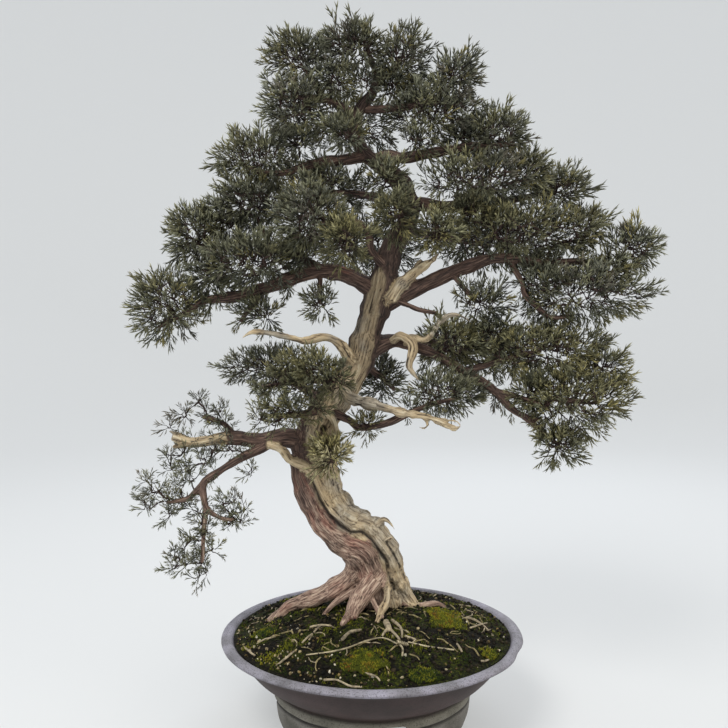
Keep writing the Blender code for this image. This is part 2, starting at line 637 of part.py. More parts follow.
def make_soil(collection, wood_cutters):
    """The mound, cut clear of the roots. Its underside leaves room for the drain screens."""
    screen_room = FLOOR_TOP + SCREEN_THICKNESS + 2 * GAP
    top = [(radius, soil_height(radius, 0)) for radius in SOIL_RINGS]
    side = [(radius - GAP * 1.5, height + GAP) for radius, height in reversed(pot_inner()[:-1])]
    under = [(SOIL_UNDER + 2, FLOOR_TOP + GAP), (SOIL_UNDER, screen_room), (0, screen_room)]
    material = make_material("bonsai_soil", (52, 46, 36), 0.95)
    soil = turned("soil", top + side + under, collection, material)
    return cut_away(soil, *wood_cutters)


def make_moss(collection, wood_cutters):
    """Low cushions that follow the soil's surface."""
    material = make_material("moss", (104, 112, 36), 0.95)
    for name, (across, up, half_x, half_y, thickness) in MOSS.items():
        middle = on_soil(across, up, 0.0)
        bm = bmesh.new()
        bmesh.ops.create_uvsphere(bm, u_segments=14, v_segments=6, radius=1.0)
        for vertex in bm.verts:
            ripple = 1.0 + MOSS_RIPPLE * noise.noise(Vector((vertex.co.x * 2, vertex.co.y * 2, middle.x)))
            x = middle.x + vertex.co.x * half_x * ripple
            y = middle.y + vertex.co.y * half_y * ripple
            inside = min(1.0, MOSS_EDGE / math.hypot(x, y))
            x, y = x * inside, y * inside
            height = max(vertex.co.z, -MOSS_DIP) * thickness
            vertex.co = Vector((x, y, soil_height(x, y) + 1.5 * GAP + height)) * MM
        bmesh.ops.remove_doubles(bm, verts=bm.verts, dist=SMALL_EDGE * MM)
        bmesh.ops.dissolve_degenerate(bm, edges=bm.edges, dist=SMALL_EDGE * MM)
        bmesh.ops.triangulate(bm, faces=bm.faces)
        bmesh.ops.recalc_face_normals(bm, faces=bm.faces)
        piece = make_object("moss_" + name, mesh_of(bm, name), collection)
        cut_away(piece, *wood_cutters)
        piece.data.materials.clear()
        piece.data.materials.append(material)


def make_tie(collection):
    """The pale wire that lies over the soil in front of the roots."""
    points = [(Vector((across, 0.0, up)), TIE_RADIUS) for across, up in TIE_ROUTE]
    path = [(on_soil(p.x, p.z, TIE_RADIUS + 1.2 * GAP), r) for p, r in smooth_path(points, PATH_STEP)]
    tie = make_object("anchor_wire", tube_mesh(path, WIRE_ROUND), collection)
    tie.data.materials.append(make_material("anchor_wire", (190, 178, 150), 0.6))
    return tie


def make_screens(collection):
    """Square mesh screens over the drain holes."""
    material = make_material("drain_screen", (40, 42, 40), 0.8)
    size = Vector((SCREEN_SIZE, SCREEN_SIZE, SCREEN_THICKNESS)) * MM
    for name, side in (("drain_screen_left", -1), ("drain_screen_right", 1)):
        bm = bmesh.new()
        bmesh.ops.create_cube(bm, size=1.0)
        bmesh.ops.scale(bm, verts=bm.verts, vec=size)
        middle = Vector((side * DRAIN_SPREAD, 0, FLOOR_TOP + GAP + SCREEN_THICKNESS / 2)) * MM
        bmesh.ops.translate(bm, verts=bm.verts, vec=middle)
        make_object(name, mesh_of(bm, name), collection, material)


def centre_on_origin(pieces, cutters):
    """Hang everything on one empty and move it, so the middle of the pieces' base box is the origin."""
    corners = [vertex.co for piece in pieces for vertex in piece.data.vertices]
    middle_x = (min(c.x for c in corners) + max(c.x for c in corners)) / 2
    middle_y = (min(c.y for c in corners) + max(c.y for c in corners)) / 2
    stand = bpy.data.objects.new("bonsai_stand_point", None)
    bpy.context.scene.collection.objects.link(stand)
    for piece in pieces + cutters:
        piece.parent = stand
    stand.location = (-middle_x, -middle_y, -min(c.z for c in corners))


def main():
    """Build the bonsai."""
    clear_scene()
    parts = bpy.data.collections.new("shimpaku_bonsai")
    cutters = bpy.data.collections.new("cutters")
    bpy.context.scene.collection.children.link(parts)
    bpy.context.scene.collection.children.link(cutters)
    make_pot(parts, cutters)
    wood_cutters = make_wood(parts, cutters)
    make_soil(parts, wood_cutters)
    make_screens(parts)
    make_moss(parts, wood_cutters)
    make_tie(parts)
    make_pads(parts, wood_cutters)
    centre_on_origin(list(parts.objects), list(cutters.objects))


main()
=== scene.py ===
"""Looks of the shimpaku juniper bonsai: weathered wood, cord-like foliage, mossy soil and the old pot.

Lengths are in millimetres, measured from the foot of the pot's axis, and a mesh is turned into metres
in the frame when it is made. Across and up are what the eye at EYE sees on the upright plane through
the pot's axis, and depth is how far behind that plane a point lies.
"""
import math
import random

import bpy
import numpy as np
from mathutils import Matrix, Vector, noise


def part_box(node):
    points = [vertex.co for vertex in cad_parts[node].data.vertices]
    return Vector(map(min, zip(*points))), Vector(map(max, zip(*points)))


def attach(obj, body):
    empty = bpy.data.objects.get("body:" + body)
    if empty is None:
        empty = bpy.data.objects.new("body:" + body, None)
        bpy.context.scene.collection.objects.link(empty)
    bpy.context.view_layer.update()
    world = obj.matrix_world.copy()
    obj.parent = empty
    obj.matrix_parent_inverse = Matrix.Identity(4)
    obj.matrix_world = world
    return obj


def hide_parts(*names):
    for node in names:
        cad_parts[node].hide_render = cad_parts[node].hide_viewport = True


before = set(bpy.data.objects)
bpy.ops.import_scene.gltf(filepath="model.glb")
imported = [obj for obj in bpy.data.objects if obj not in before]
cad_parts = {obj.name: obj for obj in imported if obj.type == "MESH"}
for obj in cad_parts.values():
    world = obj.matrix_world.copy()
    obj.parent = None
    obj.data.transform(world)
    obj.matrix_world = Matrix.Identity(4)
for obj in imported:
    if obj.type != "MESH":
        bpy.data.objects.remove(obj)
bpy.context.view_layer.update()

MM = 0.001
EYE = Vector((-8.0, -740.0, 349.0))
LENS_WIDTH = 36.0
PICTURE = 728

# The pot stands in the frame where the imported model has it
POT_LOW, POT_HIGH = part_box("pot")
POT_FOOT = np.array(((POT_LOW.x + POT_HIGH.x) / 2, (POT_LOW.y + POT_HIGH.y) / 2, 0.0)) / MM

# Pot
RIM_RADIUS = 148
RIM_HEIGHT = 85
FLOOR_TOP = 42
FLOOR_UNDER = 34
FOOT_RADIUS = 97.5
FOOT_INNER = 80
ARCH_COUNT = 4
ARCH_TURN = math.radians(5)
ARCH_WIDTH = 46
ARCH_HEIGHT = 33
ARCH_CORNER = 6
DRAIN_RADIUS = 11
DRAIN_SPREAD = 40
POT_STEPS = 132

# Soil
SOIL_PEAK = 106
SOIL_RISE = 24.5
SOIL_SPREAD = 140
SOIL_EDGE = 136

# Wood
VOXEL = 1.3
PATH_STEP = 3.0
WOOD_TRIANGLES = 112000

# Points nearer than this are one point: on a tube's caps, on a turned seam
TUBE_WELD = 0.01
SPIN_WELD = 0.02

# How many points of the wood are measured at once
BLOCK = 4000

# Foliage
CORD_RADIUS = 0.62
BRUSH_KINDS = 12
BRUSH_FOOTPRINT = 165
BRUSH_REACH = 19
LEADER_SHARE = 0.14
LEADER_SIZE = 1.32
FEWEST_BRUSHES = 26
FEWEST_IN_CLUSTER = 6
BRANCH_BRUSH_STEP = 5.5

# Each limb is a list of (across, up, depth, radius)
TRUNK = {
    "core": [
        (8, 92, 22, 24), (8, 110, 20, 25), (6, 128, 20, 25), (4, 146, 19, 24), (-2, 162, 18, 25),
        (-16, 177, 16, 24), (-32, 193, 14, 23), (-44, 210, 13, 21), (-51, 226, 12, 20),
        (-57, 245, 11, 21), (-59, 265, 10, 21), (-55, 285, 9, 19), (-43, 307, 9, 17),
        (-28, 328, 9, 16), (-15, 350, 9, 16), (-8, 370, 8, 15.5), (-2, 390, 7, 15), (5, 410, 6, 15),
        (11, 428, 5, 15), (15, 447, 4, 13.5), (19, 463, 3, 12), (30, 481, 2, 11), (39, 498, 1, 10),
        (38, 515, 0, 9.5), (26, 533, -1, 9), (9, 547, -2, 8.5), (-6, 558, -3, 8),
        (-15, 573, -5, 7.5), (-17, 591, -7, 7), (-11, 606, -9, 6), (-1, 618, -10, 5),
        (4, 633, -11, 4), (0, 651, -12, 3), (-8, 673, -13, 2)],
    "live_vein": [
        (-72, 258, 6, 11), (-69, 235, 5, 11), (-61, 213, 4, 11), (-50, 191, 2, 13),
        (-29, 170, 1, 14), (-12, 160, 2, 16), (-4, 138, 8, 18), (0, 117, 12, 19), (0, 96, 14, 18)],
    "dead_side": [
        (-47, 250, 8, 12), (-45, 237, 6, 13), (-39, 214, 5, 12.5), (-23, 196, 4, 12),
        (-2, 188, 5, 10), (10, 173, 6, 10), (19, 157, 9, 9.5), (25, 136, 12, 9.5),
        (32, 123, 14, 9.5), (40, 109, 14, 9), (44, 97, 14, 8)],
}
ROOTS = {
    "root_left": [
        (-14, 141, 4, 13), (-32, 127, 6, 11.5), (-52, 117, 12, 9), (-72, 110, 16, 7.5),
        (-85, 105, 16, 6), (-97, 93, 4, 4.2), (-104, 85, -8, 3)],
    "root_front": [(3, 133, -4, 12), (-10, 118, -12, 10), (-18, 105, -22, 8), (-22, 93, -34, 6)],
    "root_front_pale": [
        (-18, 122, -8, 4), (-37, 110, -6, 3), (-46, 101, -10, 2.2), (-50, 95, -16, 1.4)],
    "root_yellow": [(16, 128, -4, 5), (15, 113, -14, 4.5), (9, 100, -26, 3.5), (3, 85, -44, 2.4)],
    "root_thin": [(0, 115, -14, 2.8), (6, 101, -24, 2.6), (11, 95, -32, 2.4)],
    "root_right": [(33, 108, 10, 5), (48, 107, 12, 4), (65, 109, 22, 3.2), (73, 105, 26, 2.6)],
    "root_back": [(14, 126, 30, 12), (22, 120, 55, 7), (30, 119, 78, 4), (34, 121, 95, 2.6)],
    "root_back_left": [(-8, 128, 28, 11), (-34, 121, 48, 6), (-56, 119, 70, 3.2)],
}
LEFT_LIMBS = {
    "main": [
        (2, 421, 4, 9), (-14, 432, 2, 8.5), (-32, 439, 0, 8), (-52, 441, -4, 8),
        (-72, 437, -8, 7.5), (-92, 429, -13, 7), (-114, 422, -18, 6.5), (-136, 416, -22, 6),
        (-154, 414, -26, 5), (-170, 411, -30, 4), (-184, 401, -34, 3.2), (-200, 393, -38, 2.6),
        (-214, 385, -42, 2)],
    "main_upper": [
        (-52, 443, -2, 5), (-72, 455, 6, 4.6), (-102, 465, 14, 4), (-126, 470, 20, 3.4),
        (-151, 467, 18, 2.8), (-166, 466, 10, 2.4), (-178, 470, 2, 2)],
    "main_shoulder": [(-102, 465, 14, 3.4), (-109, 482, 8, 2.8), (-117, 500, 2, 2.2)],
    "main_drop": [(-110, 422, -16, 4), (-124, 403, -24, 3), (-132, 391, -28, 2.2)],
    "main_inner_drop": [(-52, 438, -6, 3.2), (-52, 424, -16, 2.6), (-51, 408, -22, 2)],
    "upper": [
        (-6, 557, -4, 6), (-27, 553, -10, 5), (-49, 551, -15, 4.5), (-72, 545, -20, 4),
        (-86, 540, -24, 3.5), (-107, 540, -27, 3), (-123, 545, -28, 2.5), (-132, 549, -28, 2)],
    "crown": [
        (-15, 595, -8, 4), (-27, 605, -14, 3.5), (-47, 613, -18, 3.2), (-72, 616, -22, 2.6),
        (-92, 616, -26, 2)],
    "crown_up": [(-47, 613, -18, 3), (-60, 632, -20, 2.5), (-72, 650, -20, 2)],
    "curved": [
        (12, 447, -4, 5), (-1, 463, -16, 4.5), (-3, 477, -22, 4), (-10, 488, -27, 3.6),
        (-24, 493, -32, 3.2), (-38, 491, -36, 3), (-50, 488, -40, 2.5)],
    "curved_front": [(-24, 492, -32, 2.8), (-26, 484, -50, 2.4), (-27, 474, -66, 2)],
    "mid": [
        (-36, 330, 0, 4.5), (-57, 333, -14, 3.8), (-77, 332, -26, 3.2), (-97, 328, -36, 2.7),
        (-110, 326, -44, 2.2)],
    "inner_upper": [(-15, 582, -6, 3.2), (-21, 580, -22, 2.6), (-26, 578, -38, 2)],
    "mid_lower": [
        (-50, 303, 0, 4), (-72, 299, -16, 3.4), (-92, 297, -28, 2.8), (-108, 297, -38, 2.2)],
    "front_twig": [(-50, 278, -10, 4), (-42, 263, -22, 3), (-39, 250, -30, 2.4)],
    "low": [
        (-62, 270, 8, 10), (-72, 273, 6, 9.5), (-87, 276, 3, 9), (-105, 273, 0, 8),
        (-122, 273, -4, 7), (-133, 275, -7, 7), (-150, 275, -11, 6), (-168, 272, -15, 5.5),
        (-182, 271, -19, 5), (-194, 274, -22, 4), (-200, 276, -24, 3)],
    "low_fork": [(-180, 271, -18, 3.8), (-190, 268, -20, 3.2), (-200, 266, -22, 2.4)],
    "low_droop": [
        (-104, 270, -2, 5.5), (-112, 264, -8, 5), (-128, 257, -14, 4.6), (-145, 247, -19, 4.2),
        (-161, 236, -23, 4), (-169, 229, -25, 3.8), (-168, 214, -28, 3.2), (-164, 203, -30, 2.7),
        (-151, 195, -32, 2.3), (-137, 193, -34, 2)],
    "low_left": [
        (-169, 229, -25, 3.4), (-177, 221, -28, 3), (-185, 214, -31, 2.8), (-206, 210, -36, 2)],
    "low_hanging": [(-166, 206, -29, 2.6), (-168, 185, -33, 2.3), (-170, 150, -38, 2)],
    "low_upper": [
        (-138, 275, -8, 3.4), (-147, 288, -12, 3), (-157, 293, -15, 2.5), (-170, 296, -18, 2)],
    "low_ribbon": [
        (-103, 268, -6, 4.5), (-90, 263, -9, 4.5), (-81, 252, -9, 4.5), (-66, 246, -9, 4.5),
        (-60, 238, -6, 4.5)],
    "jin": [
        (-16, 350, 2, 7), (-23, 357, -8, 6), (-30, 367, -15, 5.5), (-39, 374, -20, 5),
        (-49, 376, -25, 5), (-67, 372, -32, 4.5), (-77, 374, -36, 3.2), (-99, 379, -43, 3),
        (-119, 381, -49, 3), (-130, 375, -52, 2.2)],
}
RIGHT_LIMBS = {
    "main": [
        (14, 408, 6, 9), (36, 421, 0, 8), (55, 430, -4, 7.5), (79, 441, -8, 7), (98, 448, -11, 6.5),
        (116, 454, -14, 6), (138, 455, -18, 5.2), (163, 451, -20, 4.5), (188, 451, -20, 4),
        (213, 451, -18, 3.2), (228, 441, -16, 2.8), (249, 442, -14, 2.5), (268, 450, -12, 2)],
    "main_drop": [
        (138, 452, -16, 3.6), (150, 431, -24, 3.2), (153, 418, -28, 3), (163, 408, -30, 2.8),
        (178, 396, -32, 2.4), (198, 397, -30, 2)],
    "main_shari": [
        (18, 413, -8, 7), (28, 428, -9, 6.5), (43, 441, -10, 6), (58, 451, -10, 5),
        (64, 455, -10, 3.5)],
    "main_under": [(79, 441, -8, 3.2), (92, 425, -14, 2.8), (104, 412, -18, 2.2)],
    "upper": [
        (6, 553, -2, 7), (18, 557, -4, 6.5), (32, 555, -8, 6), (54, 559, -12, 5.5),
        (78, 563, -16, 5), (98, 566, -18, 4.5), (123, 567, -20, 3.5), (143, 570, -20, 2.5)],
    "crown": [
        (-6, 603, -9, 4), (25, 605, -12, 3.5), (48, 609, -14, 3), (68, 618, -15, 2.5),
        (83, 633, -16, 2)],
    "crown_up": [(4, 630, -11, 3), (18, 640, -8, 2.5), (30, 652, -6, 2)],
    "middle": [
        (38, 510, 1, 6.5), (58, 508, 4, 6), (78, 507, 8, 5.5), (103, 508, 12, 5), (128, 511, 14, 4),
        (158, 517, 14, 3), (183, 523, 12, 2.3)],
    "middle_front": [(78, 507, 8, 4), (95, 515, -12, 3), (110, 525, -28, 2.2)],
    "front": [(36, 495, -4, 4.5), (30, 497, -24, 3), (24, 497, -42, 2.2)],
    "front_low": [(58, 508, 4, 4), (62, 496, -14, 2.8), (65, 484, -30, 2)],
    "low": [
        (-6, 355, 9, 7.5), (6, 365, 8, 7), (20, 371, 6, 6.5), (38, 368, 4, 6), (58, 361, 0, 6),
        (76, 352, -4, 5.7), (94, 340, -8, 5.5), (115, 328, -12, 5), (128, 317, -15, 4.5),
        (140, 304, -18, 4), (152, 297, -20, 3), (168, 293, -22, 2.2)],
    "low_fork": [
        (121, 323, -14, 3.6), (146, 316, -22, 3), (163, 310, -28, 2.7), (174, 307, -31, 2.6),
        (181, 314, -33, 3), (198, 312, -36, 2.5), (218, 311, -38, 2)],
    "low_upper": [(94, 342, -8, 4), (120, 350, -8, 3.4), (148, 358, -10, 2.6), (170, 362, -10, 2)],
    "low_bottom": [(152, 297, -20, 3), (168, 283, -26, 2.6), (184, 270, -31, 2)],
    "jin": [
        (-26, 322, -2, 6), (-20, 315, -10, 5.5), (-2, 310, -18, 6), (15, 305, -24, 5.5),
        (32, 300, -30, 4.2), (52, 297, -36, 3.5), (65, 293, -40, 3), (78, 288, -44, 2.5),
        (85, 286, -46, 2)],
    "jin_live": [
        (-43, 303, -2, 4), (-36, 299, -6, 4), (-22, 292, -10, 4), (-12, 285, -12, 3.8),
        (13, 289, -14, 3.8), (28, 295, -12, 3.8), (40, 301, -14, 3.4), (53, 306, -18, 3),
        (68, 311, -22, 2.5), (88, 315, -26, 2)],
    "pale_curve": [
        (34, 369, 0, 3), (39, 376, -8, 3), (52, 373, -16, 3), (61, 380, -20, 3),
        (67, 390, -23, 2.8), (79, 398, -25, 2.5), (91, 396, -27, 2.2), (98, 391, -28, 2)],
    "hanging_jin": [
        (22, 373, 0, 4.5), (28, 377, -8, 4.2), (37, 372, -13, 4.5), (41, 365, -16, 4.5),
        (39, 356, -18, 4), (37, 347, -19, 4), (41, 340, -20, 4.3), (47, 333, -21, 2.6)],
    "twig": [(20, 415, -2, 3.4), (38, 407, -8, 2.6), (48, 403, -12, 2.4), (64, 400, -14, 2)],
}
BACK_LIMBS = {
    "behind_trunk": [(-8, 352, 12, 4.5), (0, 343, 24, 4), (13, 333, 36, 3), (23, 323, 46, 2.3)],
    "centre": [
        (14, 432, 14, 8), (20, 440, 50, 6.5), (10, 452, 85, 5), (-5, 460, 120, 3.8),
        (-20, 466, 145, 2.6)],
    "right": [
        (30, 483, 6, 6), (50, 480, 40, 5), (75, 475, 70, 4), (100, 470, 100, 3),
        (118, 468, 120, 2.2)],
    "upper": [(-15, 575, 0, 5), (-25, 580, 30, 4), (-30, 585, 60, 3), (-30, 590, 82, 2.2)],
    "left": [(36, 508, 4, 5.5), (10, 515, 35, 4.6), (-25, 520, 65, 3.4), (-58, 522, 90, 2.4)],
    "low_left": [
        (-40, 310, 12, 6), (-60, 320, 45, 5), (-80, 330, 75, 4), (-95, 338, 100, 3),
        (-105, 345, 118, 2.2)],
    "low_right": [
        (-4, 372, 12, 6), (20, 375, 45, 5), (50, 372, 75, 4), (80, 366, 105, 3),
        (100, 362, 122, 2.2)],
}

# Thin ends of wood that the photo shows beside the limbs
SLIVERS = {
    "hole_loop": [(-50, 298, -8, 2.6), (-41, 296, -10, 3), (-36, 284, -8, 3.2), (-36, 268, -8, 3.2),
                  (-41, 250, -8, 2.6)],
    "splinter": [(6, 190, -2, 3), (12, 194, -4, 2.4), (18, 190, -6, 1.7), (23, 183, -8, 1.2)],
    "splinter_low": [(14, 172, -4, 2.2), (21, 176, -6, 1.5)],
    "jin_loop_upper": [
        (62, 294.5, -39, 2), (76, 293, -43, 1.5), (85, 291.5, -45, 1.4), (89, 287, -46, 1.6)],
    "jin_loop_lower": [
        (62, 292, -39, 2), (74, 286.5, -43, 1.7), (83, 283, -45, 1.6), (89, 287, -46, 1.6)],
    "jin_hook": [(52, 295, -36, 1.8), (56, 288, -37, 1.3), (53, 284.5, -38, 1.2), (47, 286, -38, 1.2)],
    "shari_spike": [(38, 436, -9, 3), (44, 447, -10, 2), (49, 454, -10, 1.3)],
    "shari_tip": [(52, 448, -10, 3.4), (60, 452, -12, 2.4), (67, 460, -12, 1.3)],
    "low_stub": [(-180, 271, -18, 3), (-192, 278, -20, 2.4), (-203, 282, -22, 1.5)],
    "left_root_toe": [(-85, 103, 14, 3.6), (-93, 92, 4, 2.6), (-95, 84, -6, 1.7)],
    "left_root_side_toe": [(-88, 104, 14, 3), (-101, 96, 6, 2.2), (-110, 86, -6, 1.4)],
    "front_root_toe": [(-18, 104, -24, 5), (-26, 95, -36, 3.6), (-31, 87, -44, 2.2)],
}

# Limbs that are bare deadwood all along
DEADWOOD = (
    "trunk_dead_side", "root_yellow", "left_low_ribbon", "left_low_fork",
    "left_jin", "right_jin", "right_main_shari", "right_pale_curve", "right_hanging_jin",
    "sliver_hole_loop", "sliver_splinter", "sliver_splinter_low", "sliver_jin_loop_upper",
    "sliver_jin_loop_lower", "sliver_jin_hook", "sliver_shari_spike", "sliver_shari_tip", "sliver_low_stub")

# Live limbs whose tip is dead, from this share of their length on
DEAD_TIPS = {"left_low": 0.62}

# The trunk's bare face: height, the bearing of its middle (0 is the front, 90 the right) and half width
DEAD_FACE = (
    (90, 60, 40), (150, 75, 50), (190, 50, 55), (230, 50, 60), (262, 60, 60), (290, 40, 75),
    (330, 10, 66), (360, -8, 50), (400, -22, 40), (430, -30, 30), (452, -34, -4), (480, -30, -30))

# Relief of the wood: how knobbly limbs are, the turn of the grain in radians a millimetre, and how much
# the grain is drawn out along the limb
LIMB_KNOBS = 0.26
DEAD_WEAR = 0.42
GRAIN_TWIST = 0.006
GRAIN_STRETCH = 0.08

# Depth of the limbs' flutes, of the ridges on them, of cracks in deadwood, of shreds in bark
FLUTE_DEPTH = 3.0
RIDGE_DEPTH = 1.7
CRACK_DEPTH = 1.1
SHRED_DEPTH = 0.7

# How strong the painted shade is in cracks, and on the upper trunk between these heights
CRACK_SHADE = 0.6
HIGH_SHADE = 0.42
HIGH_TRUNK = (300, 360)

# Deep lines in the wood as the front shows them, sunk and painted dark as shade: width, depth, and (across,
# up) of their points
GROOVES = {
    "trunk_seam": (2.8, 3.0, [
        (-61, 235), (-52, 213), (-43, 198), (-31, 187), (-21, 181), (-9, 181), (0, 173), (7, 163),
        (15, 151), (17, 139), (22, 124)]),
    "edge_crack": (1.7, 2.2, [(14, 171), (20, 162), (27, 149), (33, 134)]),
}

# Holes in the wood, sunk and painted dark as shade: across, up, radius, depth
HOLLOWS = {"hump_hole": (-49, 284, 4.5, 9)}

# The bark pales from the upper of these heights to the lower
BASE_HEIGHTS = (140, 250)

# Where shadow is painted on the wood's front as dark patches: across, up, radius, strength
PAINTED_SHADOWS = {
    "above_roots": (-10, 152, 22, 0.62),
    "under_vein": (-40, 168, 16, 0.5),
    "fork": (-60, 262, 16, 0.5),
    "dead_toe": (24, 140, 8, 0.3),
}

# Where the bark is red or orange: across, up, radius, strength
FLUSHES = {
    "orange_patch": (-7, 140, 11, 0.5),
    "front_root_cut": (-19, 91, 7, 0.8),
    "right_root": (30, 116, 7, 0.7),
    "left_root": (-86, 104, 10, 0.3),
    "low_vein": (-8, 172, 24, 0.5),
    "middle_vein": (-48, 196, 22, 0.4),
    "high_vein": (-64, 228, 20, 0.34),
    "root_middle": (-34, 122, 14, 0.3),
    "burl": (-24, 448, 11, 0.8),
    "cut_knob": (-27, 615, 6, 1.0),
}

# Each foliage pad: across, up, depth of its middle, then half its width, height and depth
PADS = {
    "crown_top": (-20, 667, -15, 44, 31, 42),
    "crown_left_upper": (-73, 652, -20, 36, 31, 36),
    "crown_left_lower": (-78, 603, -30, 36, 35, 40),
    "crown_right": (30, 650, -5, 34, 37, 40),
    "crown_far_right": (82, 633, -20, 30, 30, 34),
    "left_upper": (-118, 554, -26, 46, 26, 38),
    "centre_upper": (-25, 578, -36, 24, 17, 22),
    "right_upper": (60, 596, -10, 47, 28, 48),
    "right_shoulder": (125, 577, -18, 38, 28, 42),
    "right_middle": (108, 531, -30, 60, 27, 50),
    "right_far_upper": (189, 521, 10, 31, 30, 40),
    "right_main": (150, 477, -10, 72, 31, 62),
    "right_tip": (260, 464, -12, 34, 23, 34),
    "right_lower": (213, 418, -25, 65, 34, 50),
    "right_under": (111, 408, -20, 34, 22, 26),
    "left_shoulder": (-120, 507, 0, 47, 29, 55),
    "left_mid": (-177, 476, -15, 36, 33, 45),
    "left_far": (-206, 408, -38, 39, 42, 42),
    "left_main": (-122, 448, -25, 50, 30, 55),
    "centre_left": (-62, 492, -45, 40, 41, 45),
    "centre_front": (-27, 471, -75, 27, 28, 28),
    "centre_right": (23, 496, -45, 30, 28, 30),
    "centre_right_low": (65, 481, -35, 23, 27, 26),
    "left_under": (-109, 397, -24, 22, 17, 22),
    "left_under_inner": (-51, 407, -24, 21, 16, 20),
    "mid_left": (-66, 345, -50, 44, 27, 38),
    "mid_left_lower": (-92, 307, -50, 40, 26, 38),
    "front_tuft": (-42, 256, -36, 16, 20, 14),
    "behind_trunk": (10, 333, 50, 23, 32, 30),
    "low_right_inner_upper": (80, 371, 5, 38, 28, 40),
    "low_right_inner_lower": (73, 319, -20, 45, 24, 40),
    "low_right_outer_upper": (170, 361, -10, 62, 33, 55),
    "low_right_outer": (204, 311, -32, 57, 43, 48),
    "low_right_bottom": (188, 266, -32, 30, 23, 30),
    "small_tuft": (-7, 287, -22, 17, 14, 14),
    "lower_left_top": (-168, 300, -18, 28, 19, 28),
    "lower_left_middle": (-155, 256, -20, 42, 18, 34),
    "lower_left_outer": (-210, 213, -34, 30, 25, 28),
    "lower_left_right": (-141, 200, -33, 21, 18, 20),
    "lower_left_hanging": (-178, 154, -38, 26, 33, 24),
    "back_upper": (-30, 590, 80, 60, 35, 45),
    "back_left": (-60, 520, 90, 65, 32, 45),
    "back_centre": (-15, 465, 140, 70, 32, 45),
    "back_right": (115, 470, 115, 65, 32, 45),
    "back_low_left": (-105, 345, 115, 50, 26, 38),
    "back_low_right": (100, 362, 120, 60, 28, 42),
}

# More such masses that belong to a pad and join it to its neighbours
FILLERS = {
    "front_tuft": [(-42, 256, -24, 18, 19, 16)],
    "crown_left_lower": [(-36, 632, -22, 24, 25, 24)],
    "crown_right": [(22, 622, -8, 23, 22, 24)],
    "centre_right": [(14, 533, -32, 31, 22, 20)],
    "centre_left": [(-45, 532, -10, 26, 18, 22)],
    "left_main": [(-72, 458, -8, 30, 20, 30), (-165, 438, -30, 26, 22, 30)],
    "left_shoulder": [(-150, 490, -10, 28, 20, 30)],
    "right_upper": [(95, 572, -12, 30, 20, 30), (45, 570, -32, 30, 14, 14)],
    "left_upper": [(-76, 570, -30, 16, 12, 14)],
    "right_middle": [(155, 540, -15, 30, 22, 34)],
    "right_main": [(215, 486, -8, 26, 18, 26), (100, 500, -30, 30, 20, 26)],
    "right_lower": [(165, 432, -20, 30, 20, 30), (240, 440, -18, 24, 20, 26)],
    "low_right_outer": [(232, 345, -25, 24, 20, 28), (160, 318, -26, 26, 20, 28)],
    "low_right_inner_upper": [(120, 378, -5, 26, 18, 28)],
}

# Pads whose outline is looser or lower than their egg, as the smaller masses they are drawn in
CLUSTERS = {
    "crown_top": [(-20, 660, -15, 42, 29, 40), (-16, 672, -14, 15, 14, 15), (-8, 632, -32, 16, 16, 14)],
    "mid_left": [
        (-56, 342, -50, 32, 22, 32), (-84, 340, -48, 16, 12, 16), (-36, 332, -46, 22, 22, 22),
        (-98, 332, -50, 12, 10, 12), (-72, 326, -50, 22, 16, 22)],
    "mid_left_lower": [
        (-106, 318, -50, 9, 8, 10), (-112, 304, -50, 10, 9, 12), (-96, 304, -50, 14, 11, 14),
        (-112, 292, -50, 9, 7, 10), (-96, 290, -48, 13, 8, 12), (-78, 300, -46, 18, 15, 18),
        (-58, 306, -42, 22, 20, 20)],
    "lower_left_top": [
        (-188, 299, -18, 9, 10, 12), (-173, 312, -18, 5, 8, 8), (-154, 301, -18, 12, 10, 12),
        (-203, 287, -18, 5, 6, 8), (-146, 289, -18, 8, 7, 10), (-166, 299, -18, 6, 8, 10)],
    "lower_left_middle": [
        (-203, 257, -22, 6, 6, 8), (-189, 259, -20, 9, 8, 12), (-201, 244, -24, 8, 7, 10),
        (-185, 243, -22, 12, 9, 14), (-170, 251, -20, 11, 9, 14), (-156, 262, -18, 12, 9, 14),
        (-140, 263, -16, 12, 9, 12), (-126, 259, -14, 8, 6, 10), (-121, 241, -16, 6, 10, 7)],
    "lower_left_outer": [
        (-227, 231, -32, 9, 6, 10), (-229, 212, -34, 8, 6, 10), (-216, 222, -34, 12, 9, 14),
        (-205, 212, -34, 12, 10, 14), (-224, 205, -34, 8, 6, 10), (-202, 199, -34, 9, 8, 12),
        (-192, 226, -30, 10, 8, 12), (-188, 208, -30, 7, 8, 10), (-180, 233, -26, 9, 7, 10)],
    "lower_left_right": [
        (-148, 208, -32, 8, 7, 10), (-138, 212, -34, 8, 7, 10), (-129, 203, -34, 8, 7, 10),
        (-140, 198, -34, 8, 6, 10), (-131, 191, -34, 5, 6, 8), (-143, 188, -34, 4, 5, 6)],
    "lower_left_hanging": [
        (-173, 201, -34, 7, 8, 8), (-170, 190, -36, 8, 8, 8), (-166, 182, -36, 8, 7, 8),
        (-169, 172, -38, 11, 8, 12), (-179, 174, -38, 7, 6, 8), (-189, 165, -38, 8, 6, 10),
        (-196, 155, -38, 7, 6, 8), (-197, 145, -38, 5, 6, 8), (-187, 148, -38, 6, 6, 8),
        (-159, 163, -36, 6, 8, 8), (-173, 148, -38, 8, 9, 10), (-174, 135, -38, 7, 8, 8),
        (-165, 141, -38, 5, 6, 8)],
}

LOWER_LEFT = [name for name in PADS if name.startswith("lower_left")]

